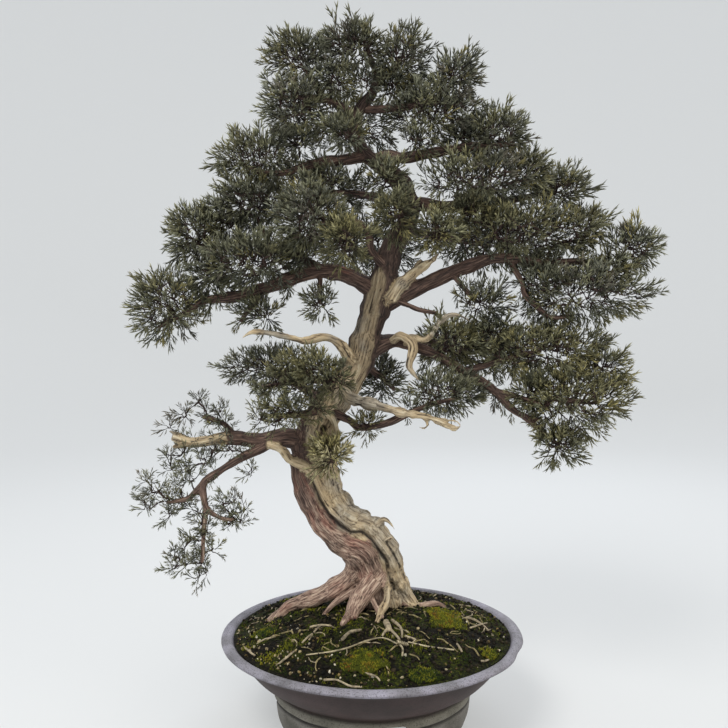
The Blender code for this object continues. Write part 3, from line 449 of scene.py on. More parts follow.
# Kind of green of a pad, where it differs: 0 is grey green, 1 is straw
PAD_TINTS = {
    "front_tuft": 0.84,
    "small_tuft": 0.4,
    "mid_left": 0.36,
    "mid_left_lower": 0.4,
    "centre_front": 0.42,
    "centre_right_low": 0.5,
    "right_main": 0.36,
    "low_right_outer": 0.42,
    "low_right_outer_upper": 0.42,
    "low_right_inner_upper": 0.4,
    "low_right_bottom": 0.4,
    **dict.fromkeys(LOWER_LEFT, 0.24),
}

# How light a pad is, where it differs
PAD_LIGHT = {
    **dict.fromkeys(LOWER_LEFT, 1.14), "front_tuft": 1.3, "mid_left": 1.0, "mid_left_lower": 1.08,
    "crown_top": 0.92, "crown_left_upper": 0.92, "crown_right": 0.92, "crown_far_right": 0.96,
    "centre_right_low": 1.15, "low_right_outer": 1.1, "low_right_outer_upper": 1.1,
    "low_right_inner_upper": 1.1, "low_right_bottom": 1.05, "right_tip": 1.08}
USUAL_LIGHT = 1.02

# How large the shoots of a pad are, where it differs
BRUSH_SIZE = {
    **dict.fromkeys(LOWER_LEFT, 0.7), "lower_left_right": 0.66, "small_tuft": 0.8, "mid_left": 0.88,
    "mid_left_lower": 0.82}

# How much of a branch, from its root, carries no shoots, where it isn't a third
BARE_SHARE = {
    "left_main": 0.36, "right_main": 0.42, "left_upper": 0.3, "right_upper": 0.36, "right_low": 0.42,
    "left_low": 0.55, "left_low_droop": 0.4, "right_middle": 0.3, "right_jin_live": 0.5}

# Each moss cushion: across and up of its middle on the soil, its two half widths, its thickness
MOSS = {
    "front": (-5, 51, 21, 16, 5.0),
    "right_ridge": (73, 94, 20, 26, 5.0),
    "right_edge": (118, 58, 10, 10, 4.0),
    "front_right": (54, 36, 17, 11, 3.5),
    "left": (-108, 79, 12, 10, 4.0),
    "back_left": (-50, 120, 24, 9, 3.0),
}
MOSS_TINTS = {
    "front": 0.6, "right_ridge": 0.62, "right_edge": 0.55, "front_right": 0.4, "left": 0.42,
    "back_left": 0.35}
MOSS_DENSITY = 0.62
MOSS_RIPPLE = 0.5
MOSS_EDGE = SOIL_EDGE - 3
MOSS_LIFT = 0.45
MOSS_BUMP = 1.4
CREEPING_SHOOTS = 8500
GRAIN_COUNT = 3000

# Pale pumice lies everywhere, and densest near the edge about this bearing from the front, in degrees
PALE_SHARE = 0.13
PALE_BEARING = -52
PALE_SPREAD = 38
ROOTLET_COUNT = 150

# Anchor wire that ties the root ball down: across and up of its points
TIE_ROUTE = [
    (-66, 58), (-42, 61), (-25, 65), (-9, 71), (6, 75), (15, 74), (25, 69), (31, 70), (36, 71),
    (42, 69.5), (55, 66.5), (63, 65.3), (82, 63)]
TIE_RADIUS = 0.9

# Fine roots on the soil: radius, then (across, up, lift) of their points
FINE_ROOTS = {
    "forked": (1.1, [(-62, 86, 0.5), (-50, 88, 2), (-40, 87, 0.5)]),
    "forked_branch": (0.9, [(-52, 87, 1), (-58, 81, 1), (-63, 73, 0)]),
    "small_pale": (1.0, [(-70, 70, 0), (-64, 76, 2), (-57, 81, 0)]),
    "left_arch": (1.6, [(-30, 73, 0), (-22, 81, 6), (-10, 83, 0)]),
    "knob": (3.2, [(14, 91, 1), (16, 87, 4), (18, 82, 1)]),
    "knob_left_leg": (1.4, [(16, 85, 3), (12, 80, 2), (10, 76, 0)]),
    "knob_right_leg": (1.4, [(17, 85, 3), (23, 79, 2), (28, 73, 0)]),
    "right_arch": (1.4, [(20, 93, 1), (29, 85, 5), (30, 75, 0)]),
    "front_long": (1.1, [(-48, 33, 0), (-35, 33, 1.5), (-22, 27, 1), (-10, 26, 0)]),
    "front_short": (1.0, [(-12, 41, 0), (3, 37, 1.5), (8, 32, 0)]),
    "left_edge": (1.0, [(-128, 66, 0), (-122, 61, 1), (-117, 57, 0)]),
    "grey_twig": (1.3, [(33, 77, 1), (39, 75, 1.5), (44, 73, 0.5)]),
    "left_slant": (1.1, [(-96, 47, 0), (-86, 55, 1.5), (-76, 63, 0)]),
    "right_long": (1.2, [(91, 96, 0), (103, 93, 2), (113, 86, 1), (121, 77, 0)]),
    "right_back": (1.1, [(85, 108, 0), (94, 107, 1.5), (103, 106, 0)]),
    "right_middle": (1.0, [(98, 85, 0), (107, 88, 1.5), (115, 90, 0)]),
    "right_front": (1.0, [(108, 52, 0), (113, 52, 1), (118, 54, 0)]),
    "right_short": (1.1, [(85, 69, 0), (88, 65, 1.2), (90, 61, 0)]),
}

# Step in the lip's outer edge: bearing and spread in degrees, depth
CHIP_ANGLE = 68
CHIP_SPAN = 6
CHIP_DEPTH = 2.2


def linear(code):
    """Linear colour of an sRGB hex code."""
    parts = [int(code[i:i + 2], 16) / 255 for i in (1, 3, 5)]
    return (*[c / 12.92 if c <= 0.04045 else ((c + 0.055) / 1.055) ** 2.4 for c in parts], 1.0)


def place(across, up, depth):
    """The point that is seen at across and up and lies depth behind the plane of the pot's axis."""
    front = Vector((across, 0.0, up))
    return EYE + (front - EYE) * ((depth - EYE.y) / -EYE.y)


def soil_height(x, y):
    """Height of the soil's mound over a point of the pot."""
    return SOIL_PEAK - SOIL_RISE * (x * x + y * y) / SOIL_SPREAD ** 2


def on_soil(across, up, lift):
    """The point of the soil that is seen at across and up, raised by lift."""
    near, far = -RIM_RADIUS, RIM_RADIUS
    for _ in range(40):
        depth = (near + far) / 2
        point = place(across, up, depth)
        if point.z > soil_height(point.x, point.y) + lift:
            near = depth
        else:
            far = depth
    return place(across, up, depth)


def smooth_path(points, step):
    """Points about step apart on a smooth curve through all the given ones, with their radii."""
    ends = [points[0]] + points + [points[-1]]
    path = []
    for before, start, end, after in zip(ends, ends[1:], ends[2:], ends[3:]):
        count = max(1, round((end[0] - start[0]).length / step))
        for i in range(count):
            t = i / count
            position = 0.5 * (2 * start[0] + (end[0] - before[0]) * t
                              + (2 * before[0] - 5 * start[0] + 4 * end[0] - after[0]) * t ** 2
                              + (3 * start[0] - before[0] - 3 * end[0] + after[0]) * t ** 3)
            path.append((position, start[1] + (end[1] - start[1]) * t))
    path.append(points[-1])
    return path


def new_material(name, **finish):
    """A material and its shader; even values go on the shader's own sockets, spaces as underscores."""
    material = bpy.data.materials.new(name)
    material.use_nodes = True
    shader = material.node_tree.nodes["Principled BSDF"]
    for socket, value in finish.items():
        shader.inputs[socket.replace("_", " ")].default_value = value
    return material, shader


def add_node(material, kind, settings, links):
    """Add a node, set its properties, sockets or ramp stops, and link its sockets."""
    node = material.node_tree.nodes.new(kind)
    for name, value in settings.items():
        if name == "stops":
            ramp = node.color_ramp.elements
            while len(ramp) < len(value):
                ramp.new(1.0)
            for element, (position, colour) in zip(ramp, value):
                element.position = position
                element.color = linear(colour)
        elif isinstance(name, str) and hasattr(node, name):
            setattr(node, name, value)
        else:
            node.inputs[name].default_value = value
    for name, source in links.items():
        material.node_tree.links.new(source, node.inputs[name])
    return node


def link(material, source, socket):
    """Link a node's output to a socket."""
    material.node_tree.links.new(source, socket)


def deselect():
    """Nothing is selected, so that an operator acts only on what comes next."""
    if bpy.context.object and bpy.context.object.mode != "OBJECT":
        bpy.ops.object.mode_set(mode="OBJECT")
    bpy.ops.object.select_all(action="DESELECT")


def choose(piece):
    """Make one object the selected and active one."""
    deselect()
    piece.hide_set(False)
    piece.select_set(True)
    bpy.context.view_layer.objects.active = piece
    return piece


def apply_modifier(piece, kind, **settings):
    """Add a modifier and apply it."""
    choose(piece)
    modifier = piece.modifiers.new(kind.lower(), kind)
    for name, value in settings.items():
        setattr(modifier, name, value)
    bpy.ops.object.modifier_apply(modifier=modifier.name)


def settle(piece):
    """Put a finished object's place, turn and size into its mesh."""
    choose(piece)
    bpy.ops.object.transform_apply(location=True, rotation=True, scale=True)
    return piece


def rename(piece, name):
    """Name an object and its mesh."""
    piece.name = name
    piece.data.name = name


def weld(piece, gap):
    """Merge points nearer than gap and turn the faces outwards."""
    choose(piece)
    bpy.ops.object.mode_set(mode="EDIT")
    bpy.ops.mesh.select_all(action="SELECT")
    bpy.ops.mesh.remove_doubles(threshold=gap * MM)
    bpy.ops.mesh.normals_make_consistent(inside=False)
    bpy.ops.object.mode_set(mode="OBJECT")


def coat(piece, material):
    """Give a piece one material and smooth shading all over."""
    piece.data.polygons.foreach_set("use_smooth", [True] * len(piece.data.polygons))
    piece.data.materials.clear()
    piece.data.materials.append(material)


def points_of(piece):
    """A piece's vertices, measured from the foot of the pot's axis."""
    flat = np.empty(len(piece.data.vertices) * 3)
    piece.data.vertices.foreach_get("co", flat)
    return flat.reshape(-1, 3) / MM - POT_FOOT


def normals_of(piece):
    """A piece's vertex normals."""
    flat = np.empty(len(piece.data.vertices) * 3)
    piece.data.vertices.foreach_get("normal", flat)
    return flat.reshape(-1, 3)


def move_points(piece, points):
    """Give a piece's vertices new places, measured from the foot of the pot's axis."""
    piece.data.vertices.foreach_set("co", ((points + POT_FOOT) * MM).ravel())
    piece.data.update()


def add_attribute(piece, name, values):
    """Store one number, or one vector, for each vertex."""
    flat = np.asarray(values, dtype=np.float32)
    kind, field = ("FLOAT", "value") if flat.ndim == 1 else ("FLOAT_VECTOR", "vector")
    layer = piece.data.attributes.new(name, kind, "POINT")
    layer.data.foreach_set(field, flat.ravel())


def make_piece(name, points, faces, material, uv=None):
    """An object from vertices and faces; uv gives each vertex a place on the bake's map."""
    mesh = bpy.data.meshes.new(name)
    mesh.from_pydata(((np.asarray(points) + POT_FOOT) * MM).tolist(), [], np.asarray(faces).tolist())
    mesh.materials.append(material)
    mesh.polygons.foreach_set("use_smooth", [True] * len(mesh.polygons))
    if uv is not None:
        corners = np.empty(len(mesh.loops), dtype=np.int32)
        mesh.loops.foreach_get("vertex_index", corners)
        layer = mesh.uv_layers.new(name="OFBake")
        layer.data.foreach_set("uv", np.asarray(uv)[corners].ravel())
    mesh.update()
    piece = bpy.data.objects.new(name, mesh)
    bpy.context.scene.collection.objects.link(piece)
    return piece


def select_points(piece, test):
    """Go to edit mode with only the vertices selected that pass the test."""
    choose(piece)
    bpy.ops.object.mode_set(mode="EDIT")
    bpy.ops.mesh.select_mode(type="VERT")
    bpy.ops.mesh.select_all(action="DESELECT")
    bpy.ops.object.mode_set(mode="OBJECT")
    for vertex in piece.data.vertices:
        vertex.select = test(vertex)
    bpy.ops.object.mode_set(mode="EDIT")


def take_shape(piece):
    """A modelled object's vertices and triangles as arrays; the object is then removed."""
    apply_modifier(piece, "TRIANGULATE")
    points = np.array([vertex.co for vertex in piece.data.vertices])
    faces = np.array([polygon.vertices for polygon in piece.data.polygons])
    bpy.data.objects.remove(piece, do_unlink=True)
    return points, faces


def ride(piece, slot, *nodes):
    """Fasten a piece to the bonsai's one body and hide the solids it stands for."""
    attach(piece, "root")
    if nodes:
        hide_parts(*nodes)
    return piece


# Materials


def juniper_wood():
    """Living juniper bark and bleached deadwood.

    Bark is thin, purplish brown and shredding in long fibres; deadwood is bare, tan to silver grey,
    with drying cracks that follow the grain. The grain attribute runs along each limb.
    """
    material, shader = new_material("juniper_wood", Roughness=0.78)
    grain = add_node(material, "ShaderNodeAttribute", {"attribute_name": "grain"}, {}).outputs["Vector"]
    dead = add_node(material, "ShaderNodeAttribute", {"attribute_name": "deadwood"}, {}).outputs["Fac"]
    flush = add_node(material, "ShaderNodeAttribute", {"attribute_name": "flush"}, {}).outputs["Fac"]
    shade = add_node(material, "ShaderNodeAttribute", {"attribute_name": "shade"}, {}).outputs["Fac"]
    base = add_node(material, "ShaderNodeAttribute", {"attribute_name": "base"}, {}).outputs["Fac"]
    where = add_node(material, "ShaderNodeTexCoord", {}, {}).outputs["Object"]
    # Bark fibres are about 1.5 mm wide and deadwood cracks 2 mm apart
    fibre = add_node(material, "ShaderNodeTexNoise", {"Scale": 0.7, "Detail": 5.0, "Roughness": 0.62},
                     {"Vector": grain})
    crack = add_node(material, "ShaderNodeTexNoise", {"Scale": 0.48, "Detail": 4.0, "Roughness": 0.6},
                     {"Vector": grain})
    # Patches of weathering are 20 to 40 mm across
    patch = add_node(material, "ShaderNodeTexNoise", {"Scale": 30.0, "Detail": 3.0}, {"Vector": where})
    bark = add_node(material, "ShaderNodeValToRGB", {"stops": [
        (0.3, "#100A09"), (0.42, "#241714"), (0.52, "#3F2A24"), (0.62, "#5E4439"), (0.74, "#8E7365")]},
        {"Fac": fibre.outputs["Fac"]})
    root = add_node(material, "ShaderNodeValToRGB", {"stops": [
        (0.3, "#271A16"), (0.39, "#5A463C"), (0.48, "#8E7466"), (0.58, "#B49C8A"), (0.72, "#D6C6B2")]},
        {"Fac": fibre.outputs["Fac"]})
    live = add_node(material, "ShaderNodeMix", {"data_type": "RGBA"},
                    {0: base, 6: bark.outputs["Color"], 7: root.outputs["Color"]})
    red = add_node(material, "ShaderNodeValToRGB", {"stops": [
        (0.32, "#3E1F1B"), (0.5, "#8A4F43"), (0.66, "#BC8874")]}, {"Fac": fibre.outputs["Fac"]})
    flushed = add_node(material, "ShaderNodeMix", {"data_type": "RGBA"},
                       {0: flush, 6: live.outputs[2], 7: red.outputs["Color"]})
    pale = add_node(material, "ShaderNodeValToRGB", {"stops": [
        (0.33, "#2A2018"), (0.385, "#70604A"), (0.445, "#A89476"), (0.55, "#C4B08E"), (0.7, "#DCD0B2")]},
        {"Fac": crack.outputs["Fac"]})
    grey = add_node(material, "ShaderNodeValToRGB", {"stops": [
        (0.33, "#2A241E"), (0.4, "#7E7466"), (0.53, "#A89E8C"), (0.68, "#C8C0B0")]},
        {"Fac": crack.outputs["Fac"]})
    age = add_node(material, "ShaderNodeValToRGB", {"stops": [(0.48, "#000000"), (0.66, "#FFFFFF")]},
                   {"Fac": patch.outputs["Fac"]})
    bare = add_node(material, "ShaderNodeMix", {"data_type": "RGBA"},
                    {0: age.outputs["Color"], 6: pale.outputs["Color"], 7: grey.outputs["Color"]})
    colour = add_node(material, "ShaderNodeMix", {"data_type": "RGBA"},
                      {0: dead, 6: flushed.outputs[2], 7: bare.outputs[2]})
    # Painted shade: the shade attribute darkens the colour towards near black
    dark = add_node(material, "ShaderNodeMix", {"data_type": "RGBA", 7: linear("#1D1511")},
                    {0: shade, 6: colour.outputs[2]})
    link(material, dark.outputs[2], shader.inputs["Base Color"])
    relief = add_node(material, "ShaderNodeMath", {"operation": "ADD"},
                      {0: fibre.outputs["Fac"], 1: crack.outputs["Fac"]})
    bump = add_node(material, "ShaderNodeBump", {"Strength": 0.8, "Distance": 0.0009},
                    {"Height": relief.outputs["Value"]})
    link(material, bump.outputs["Normal"], shader.inputs["Normal"])
    return material


def juniper_foliage():
    """Scale leaves pressed to cords: matt grey green with a faint wax bloom, brown where they are old.

    The colour is a function of the bake's map alone: across it the kind of green, up it the age from woody
    base to growing tip, whose pale top end is a painted highlight on the tips.
    """
    material, shader = new_material("juniper_foliage", Roughness=0.6, Specular_IOR_Level=0.35)
    place_on_map = add_node(material, "ShaderNodeUVMap", {"uv_map": "OFBake"}, {})
    split = add_node(material, "ShaderNodeSeparateXYZ", {}, {"Vector": place_on_map.outputs["UV"]})
    green = add_node(material, "ShaderNodeValToRGB", {"stops": [
        (0.05, "#AE9E90"), (0.16, "#9CA092"), (0.3, "#A8AA8C"), (0.46, "#B4B084"), (0.62, "#BEB476"),
        (0.8, "#CCC288"), (0.97, "#DCD4B0")]}, {"Fac": split.outputs["X"]})
    wood = add_node(material, "ShaderNodeValToRGB", {"stops": [
        (0.08, "#FFFFFF"), (0.22, "#000000")]}, {"Fac": split.outputs["Y"]})
    # Dark at the old base, pale at the tip: partly age, and the pale top end is a painted highlight
    light = add_node(material, "ShaderNodeValToRGB", {"stops": [
        (0.15, "#484844"), (0.42, "#6A6A64"), (0.7, "#A8A8A2"), (0.85, "#E0E0DC"), (1.0, "#FFFFFF")]},
        {"Fac": split.outputs["Y"]})
    shaded = add_node(material, "ShaderNodeMix", {"data_type": "RGBA", "blend_type": "MULTIPLY", 0: 1.0},
                      {6: green.outputs["Color"], 7: light.outputs["Color"]})
    colour = add_node(material, "ShaderNodeMix", {"data_type": "RGBA", 7: linear("#3F2E2A")},
                      {0: wood.outputs["Color"], 6: shaded.outputs[2]})
    link(material, colour.outputs[2], shader.inputs["Base Color"])
    return material


def fired_clay():
    """Unglazed wood-ash stoneware: purple brown body, grey bloom on the lip, lime and ochre on the foot, and
    painted shade in the groove under the bead and the crease above it.
    """
    material, shader = new_material("fired_clay", Roughness=0.62, Specular_IOR_Level=0.4)
    where = add_node(material, "ShaderNodeTexCoord", {}, {}).outputs["Object"]
    split = add_node(material, "ShaderNodeSeparateXYZ", {}, {"Vector": where})
    height = add_node(material, "ShaderNodeMapRange", {"From Min": 0.0, "From Max": RIM_HEIGHT * MM},
                      {"Value": split.outputs["Z"]})
    # Clouds of ash are 25 mm across, grit in the clay about 1 mm
    cloud = add_node(material, "ShaderNodeTexNoise", {"Scale": 38.0, "Detail": 5.0, "Roughness": 0.6},
                     {"Vector": where})
    grit = add_node(material, "ShaderNodeTexNoise", {"Scale": 900.0, "Detail": 2.0}, {"Vector": where})
    wobble = add_node(material, "ShaderNodeMath", {"operation": "MULTIPLY_ADD", 1: 0.05, 2: -0.025},
                      {0: cloud.outputs["Fac"]})
    level = add_node(material, "ShaderNodeMath", {"operation": "ADD"},
                     {0: height.outputs["Result"], 1: wobble.outputs["Value"]})
    # Painted shade: the near black stops at 0.325 and 0.445 fall on the groove under the bead and the crease
    # above it
    body = add_node(material, "ShaderNodeValToRGB", {"stops": [
        (0.0, "#5A574C"), (0.28, "#76736A"), (0.325, "#221E1B"), (0.35, "#7C796C"), (0.41, "#757265"),
        (0.445, "#30261F"), (0.52, "#402E2B"), (0.9, "#362928"), (0.93, "#5F585D"), (0.985, "#96959E")]},
        {"Fac": level.outputs["Value"]})
    dust = add_node(material, "ShaderNodeValToRGB", {"stops": [
        (0.35, "#6A6866"), (0.5, "#A9A7AA"), (0.68, "#CFCDD8")]}, {"Fac": cloud.outputs["Fac"]})
    tint = add_node(material, "ShaderNodeMix", {"data_type": "RGBA", "blend_type": "OVERLAY", 0: 0.55},
                    {6: body.outputs["Color"], 7: dust.outputs["Color"]})
    speck = add_node(material, "ShaderNodeValToRGB", {"stops": [
        (0.32, "#8A8480"), (0.48, "#FFFFFF"), (0.62, "#FFFFFF"), (0.75, "#D9D2CC")]},
        {"Fac": grit.outputs["Fac"]})
    colour = add_node(material, "ShaderNodeMix", {"data_type": "RGBA", "blend_type": "MULTIPLY", 0: 0.8},
                      {6: tint.outputs[2], 7: speck.outputs["Color"]})
    link(material, colour.outputs[2], shader.inputs["Base Color"])
    bump = add_node(material, "ShaderNodeBump", {"Strength": 0.35, "Distance": 0.0004},
                    {"Height": grit.outputs["Fac"]})
    link(material, bump.outputs["Normal"], shader.inputs["Normal"])
    return material


def bonsai_soil():
    """Wet sieved soil: near black lumps of fired loam with algae between them."""
    material, shader = new_material("bonsai_soil", Roughness=0.9, Specular_IOR_Level=0.15)
    where = add_node(material, "ShaderNodeTexCoord", {}, {}).outputs["Object"]
    # Grains are 3 mm across
    grain = add_node(material, "ShaderNodeTexVoronoi", {"Scale": 330.0}, {"Vector": where})
    patch = add_node(material, "ShaderNodeTexNoise", {"Scale": 42.0, "Detail": 4.0}, {"Vector": where})
    fine = add_node(material, "ShaderNodeTexNoise", {"Scale": 500.0, "Detail": 3.0}, {"Vector": where})
    loam = add_node(material, "ShaderNodeValToRGB", {"stops": [
        (0.3, "#080806"), (0.55, "#14120D"), (0.72, "#2E2819")]}, {"Fac": fine.outputs["Fac"]})
    algae = add_node(material, "ShaderNodeValToRGB", {"stops": [
        (0.3, "#0D1008"), (0.5, "#22270B"), (0.7, "#454A14")]}, {"Fac": fine.outputs["Fac"]})
    share = add_node(material, "ShaderNodeValToRGB", {"stops": [(0.42, "#000000"), (0.56, "#FFFFFF")]},
                     {"Fac": patch.outputs["Fac"]})
    colour = add_node(material, "ShaderNodeMix", {"data_type": "RGBA"},
                      {0: share.outputs["Color"], 6: loam.outputs["Color"], 7: algae.outputs["Color"]})
    link(material, colour.outputs[2], shader.inputs["Base Color"])
    bump = add_node(material, "ShaderNodeBump", {"Strength": 0.9, "Distance": 0.0012, "invert": True},
                    {"Height": grain.outputs["Distance"]})
    link(material, bump.outputs["Normal"], shader.inputs["Normal"])
    return material


def mapped_colours(name, stops, roughness):
    """A matt material whose colour is read along the bake's map, for grains and shoots of many tints."""
    material, shader = new_material(name, Roughness=roughness, Specular_IOR_Level=0.2)
    place_on_map = add_node(material, "ShaderNodeUVMap", {"uv_map": "OFBake"}, {})
    split = add_node(material, "ShaderNodeSeparateXYZ", {}, {"Vector": place_on_map.outputs["UV"]})
    colour = add_node(material, "ShaderNodeValToRGB", {"stops": stops}, {"Fac": split.outputs["X"]})
    # Up the map each copy runs from dark at its foot to full colour at its top: on the upright moss shoots
    # this is partly the older stem and partly painted shade; grains are turned at random, so their dark side
    # is random
    light = add_node(material, "ShaderNodeValToRGB", {"stops": [(0.0, "#2E2E2E"), (0.9, "#FFFFFF")]},
                     {"Fac": split.outputs["Y"]})
    shaded = add_node(material, "ShaderNodeMix", {"data_type": "RGBA", "blend_type": "MULTIPLY", 0: 1.0},
                      {6: colour.outputs["Color"], 7: light.outputs["Color"]})
    link(material, shaded.outputs[2], shader.inputs["Base Color"])
    return material


def plain_paint(name, code, roughness, metallic=0.0):
    """A worn matt surface with faint blotches, 4 mm across."""
    material, shader = new_material(name, Roughness=roughness, Metallic=metallic)
    where = add_node(material, "ShaderNodeTexCoord", {}, {}).outputs["Object"]
    blotch = add_node(material, "ShaderNodeTexNoise", {"Scale": 250.0, "Detail": 3.0}, {"Vector": where})
    tone = add_node(material, "ShaderNodeValToRGB", {"stops": [(0.3, "#8C8C8C"), (0.7, "#FFFFFF")]},
                    {"Fac": blotch.outputs["Fac"]})
    colour = add_node(material, "ShaderNodeMix",
                      {"data_type": "RGBA", "blend_type": "MULTIPLY", 0: 1.0, 6: linear(code)},
                      {7: tone.outputs["Color"]})
    link(material, colour.outputs[2], shader.inputs["Base Color"])
    return material


# Wood


def all_limbs():
    """Every limb by name, as (point, radius) pairs."""
    limbs = {}
    tables = {"trunk": TRUNK, "": ROOTS, "left": LEFT_LIMBS, "right": RIGHT_LIMBS, "back": BACK_LIMBS,
              "sliver": SLIVERS}
    for family, table in tables.items():
        for name, points in table.items():
            full = f"{family}_{name}" if family else name
            limbs[full] = [(place(*point[:3]), point[3]) for point in points]
    return limbs


def limb_curve(path, weathered=0.0):
    """A curve object through a limb's points, as thick as the limb is there. Weathering thins its tip."""
    curve = bpy.data.curves.new("limb", "CURVE")
    curve.dimensions = "3D"
    curve.bevel_depth = MM
    curve.bevel_resolution = 4
    curve.use_fill_caps = True
    spline = curve.splines.new("POLY")
    spline.points.add(len(path) - 1)
    shares = np.linspace(0.0, 1.0, len(path))
    for target, share, (position, radius) in zip(spline.points, shares, path):
        knob = 1.0 + LIMB_KNOBS * noise.noise(position * 0.09)
        knob += weathered * (0.8 * noise.noise(position * 0.22) - fade(share, 0.7, 1.0))
        target.co = (*((position + Vector(POT_FOOT)) * MM), 1.0)
        target.radius = radius * knob
    holder = bpy.data.objects.new("limb", curve)
    bpy.context.scene.collection.objects.link(holder)
    return holder


def limb_frames(path, start):
    """Along a limb: points, radii, two directions across it that don't twist, and its length so far."""
    points = np.array([position for position, _ in path])
    radii = np.array([radius for _, radius in path])
    tangents = np.gradient(points, axis=0)
    tangents /= np.linalg.norm(tangents, axis=1, keepdims=True) + 1e-9
    side = np.cross(tangents[0], (0.3, 1.0, 0.2))
    sides = []
    for tangent in tangents:
        side = side - tangent * side.dot(tangent)
        side = side / np.linalg.norm(side)
        sides.append(side)
    sides = np.array(sides)
    length = start + np.concatenate([[0.0], np.linalg.norm(np.diff(points, axis=0), axis=1).cumsum()])
    return points, radii, tangents, sides, np.cross(tangents, sides), length


def wood_samples(limbs):
    """All limbs' frames in one set of arrays, with which of them are deadwood."""
    parts = []
    for index, (name, points) in enumerate(limbs.items()):
        frames = limb_frames(smooth_path(points, PATH_STEP), index * 97.0)
        share = np.linspace(0.0, 1.0, len(frames[0]))
        bare_from = 0.0 if name in DEADWOOD else DEAD_TIPS.get(name, 2.0)
        dead = (share >= bare_from).astype(float)
        parts.append((*frames, dead, np.full(len(frames[0]), index)))
    return [np.concatenate(columns) for columns in zip(*parts)]


def follow_grain(points, samples):
    """For points on the wood: which sample of a limb is nearest, and their place along its grain."""
    centres, radii, tangents, sides, others, lengths = samples[:6]
    nearest = np.empty(len(points), dtype=np.int64)
    for first in range(0, len(points), BLOCK):
        block = points[first:first + BLOCK]
        gaps = np.linalg.norm(block[:, None, :] - centres[None], axis=2) - radii[None]
        nearest[first:first + BLOCK] = gaps.argmin(axis=1)
    offset = points - centres[nearest]
    reached = lengths[nearest] + (offset * tangents[nearest]).sum(1)
    x = (offset * sides[nearest]).sum(1)
    y = (offset * others[nearest]).sum(1)
    turn = reached * GRAIN_TWIST
    grain = np.stack([x * np.cos(turn) - y * np.sin(turn), x * np.sin(turn) + y * np.cos(turn),
                      reached * GRAIN_STRETCH], axis=1)
    return nearest, grain


def noise_at(points, scale):
    """Smooth noise at each point, with features about 1 / scale across."""
    return np.array([noise.noise(Vector(point)) for point in points * scale])


def fade(values, low, high):
    """0 below low, 1 above high, and a soft step between."""
    t = np.clip((values - low) / (high - low), 0.0, 1.0)
    return t * t * (3 - 2 * t)


def seen_at(points):
    """Across and up of each point, as the eye sees it."""
    eye = np.array(EYE)
    share = (points[:, 1] - eye[1]) / -eye[1]
    return eye[0] + (points[:, 0] - eye[0]) / share, eye[2] + (points[:, 2] - eye[2]) / share


def line_distance(across, up, route):
    """Distance of seen points from a line drawn through route's (across, up) points."""
    best = np.full(len(across), 1e9)
    for (x0, z0), (x1, z1) in zip(route, route[1:]):
        dx, dz = x1 - x0, z1 - z0
        t = np.clip(((across - x0) * dx + (up - z0) * dz) / (dx * dx + dz * dz), 0.0, 1.0)
        best = np.minimum(best, np.hypot(across - x0 - t * dx, up - z0 - t * dz))
    return best


def dead_share(points, nearest, samples, names):
    """How much of each point is bare deadwood: whole dead limbs, and a face of the trunk."""
    dead = samples[6][nearest].copy()
    core = samples[7][nearest] == names.index("trunk_core")
    offset = points - samples[0][nearest]
    angle = np.degrees(np.arctan2(offset[:, 0], -offset[:, 1]))
    heights = points[:, 2]
    middle = np.interp(heights, [row[0] for row in DEAD_FACE], [row[1] for row in DEAD_FACE])
    half = np.interp(heights, [row[0] for row in DEAD_FACE], [row[2] for row in DEAD_FACE])
    ragged = noise_at(points * (1, 1, 0.3), 0.12) * 25
    away = np.abs((angle - middle + 180) % 360 - 180) + ragged
    face = 1.0 - fade(away, half - 6, half + 6)
    return np.where(core, np.maximum(dead, face), dead)


def carve(points, normals):
    """Sink the grooves and holes that the front shows. Returns the moved points and the painted shade in
    them.
    """
    across, up = seen_at(points)
    front = fade(-normals[:, 1], -0.2, 0.3) * (points[:, 1] < 40)
    shade = np.zeros(len(points))
    for width, depth, route in GROOVES.values():
        near = (1.0 - fade(line_distance(across, up, route), 0.3, width)) * front
        points = points - normals * (near * depth)[:, None]
        shade = np.maximum(shade, near)
    for x, z, radius, depth in HOLLOWS.values():
        near = (1.0 - fade(np.hypot(across - x, up - z), radius * 0.4, radius)) * front
        points = points + np.array((0.0, 1.0, 0.0)) * (near * depth)[:, None]
        shade = np.maximum(shade, near)
    return points, shade


def spot_share(points, grain, spots):
    """How near points on the front are to the middle of any spot, in streaks along the grain."""
    across, up = seen_at(points)
    streak = fade(noise_at(grain + 60.0, 0.3), -0.3, 0.25)
    share = np.zeros(len(points))
    for x, z, radius, strength in spots.values():
        near = strength * (1.0 - fade(np.hypot(across - x, up - z), radius * 0.4, radius))
        share = np.maximum(share, np.where(points[:, 1] < 20, near, 0.0))
    return share * streak


def make_wood():
    """Trunk, roots, branches and dead stubs, grown together, with their relief. Returns the limbs."""
    limbs = all_limbs()
    samples = wood_samples(limbs)
    names = list(limbs)
    curves = [limb_curve(smooth_path(points, PATH_STEP), DEAD_WEAR if name in DEADWOOD else 0.0)
              for name, points in limbs.items()]
    deselect()
    for curve in curves:
        curve.select_set(True)
    bpy.context.view_layer.objects.active = curves[0]
    bpy.ops.object.convert(target="MESH")
    bpy.ops.object.join()
    tree = bpy.context.object
    rename(tree, "juniper_tree")
    weld(tree, TUBE_WELD)
    apply_modifier(tree, "REMESH", mode="VOXEL", voxel_size=VOXEL * MM)
    apply_modifier(tree, "SMOOTH", factor=0.5, iterations=3)
    shape_relief(tree, samples, names)
    ratio = WOOD_TRIANGLES / (2 * len(tree.data.polygons))
    if ratio < 1.0:
        apply_modifier(tree, "DECIMATE", ratio=ratio, use_collapse_triangulate=True)
    paint_wood(tree, samples, names)
    coat(tree, juniper_wood())
    ride(tree, "wood", "tree_wood")
    return limbs


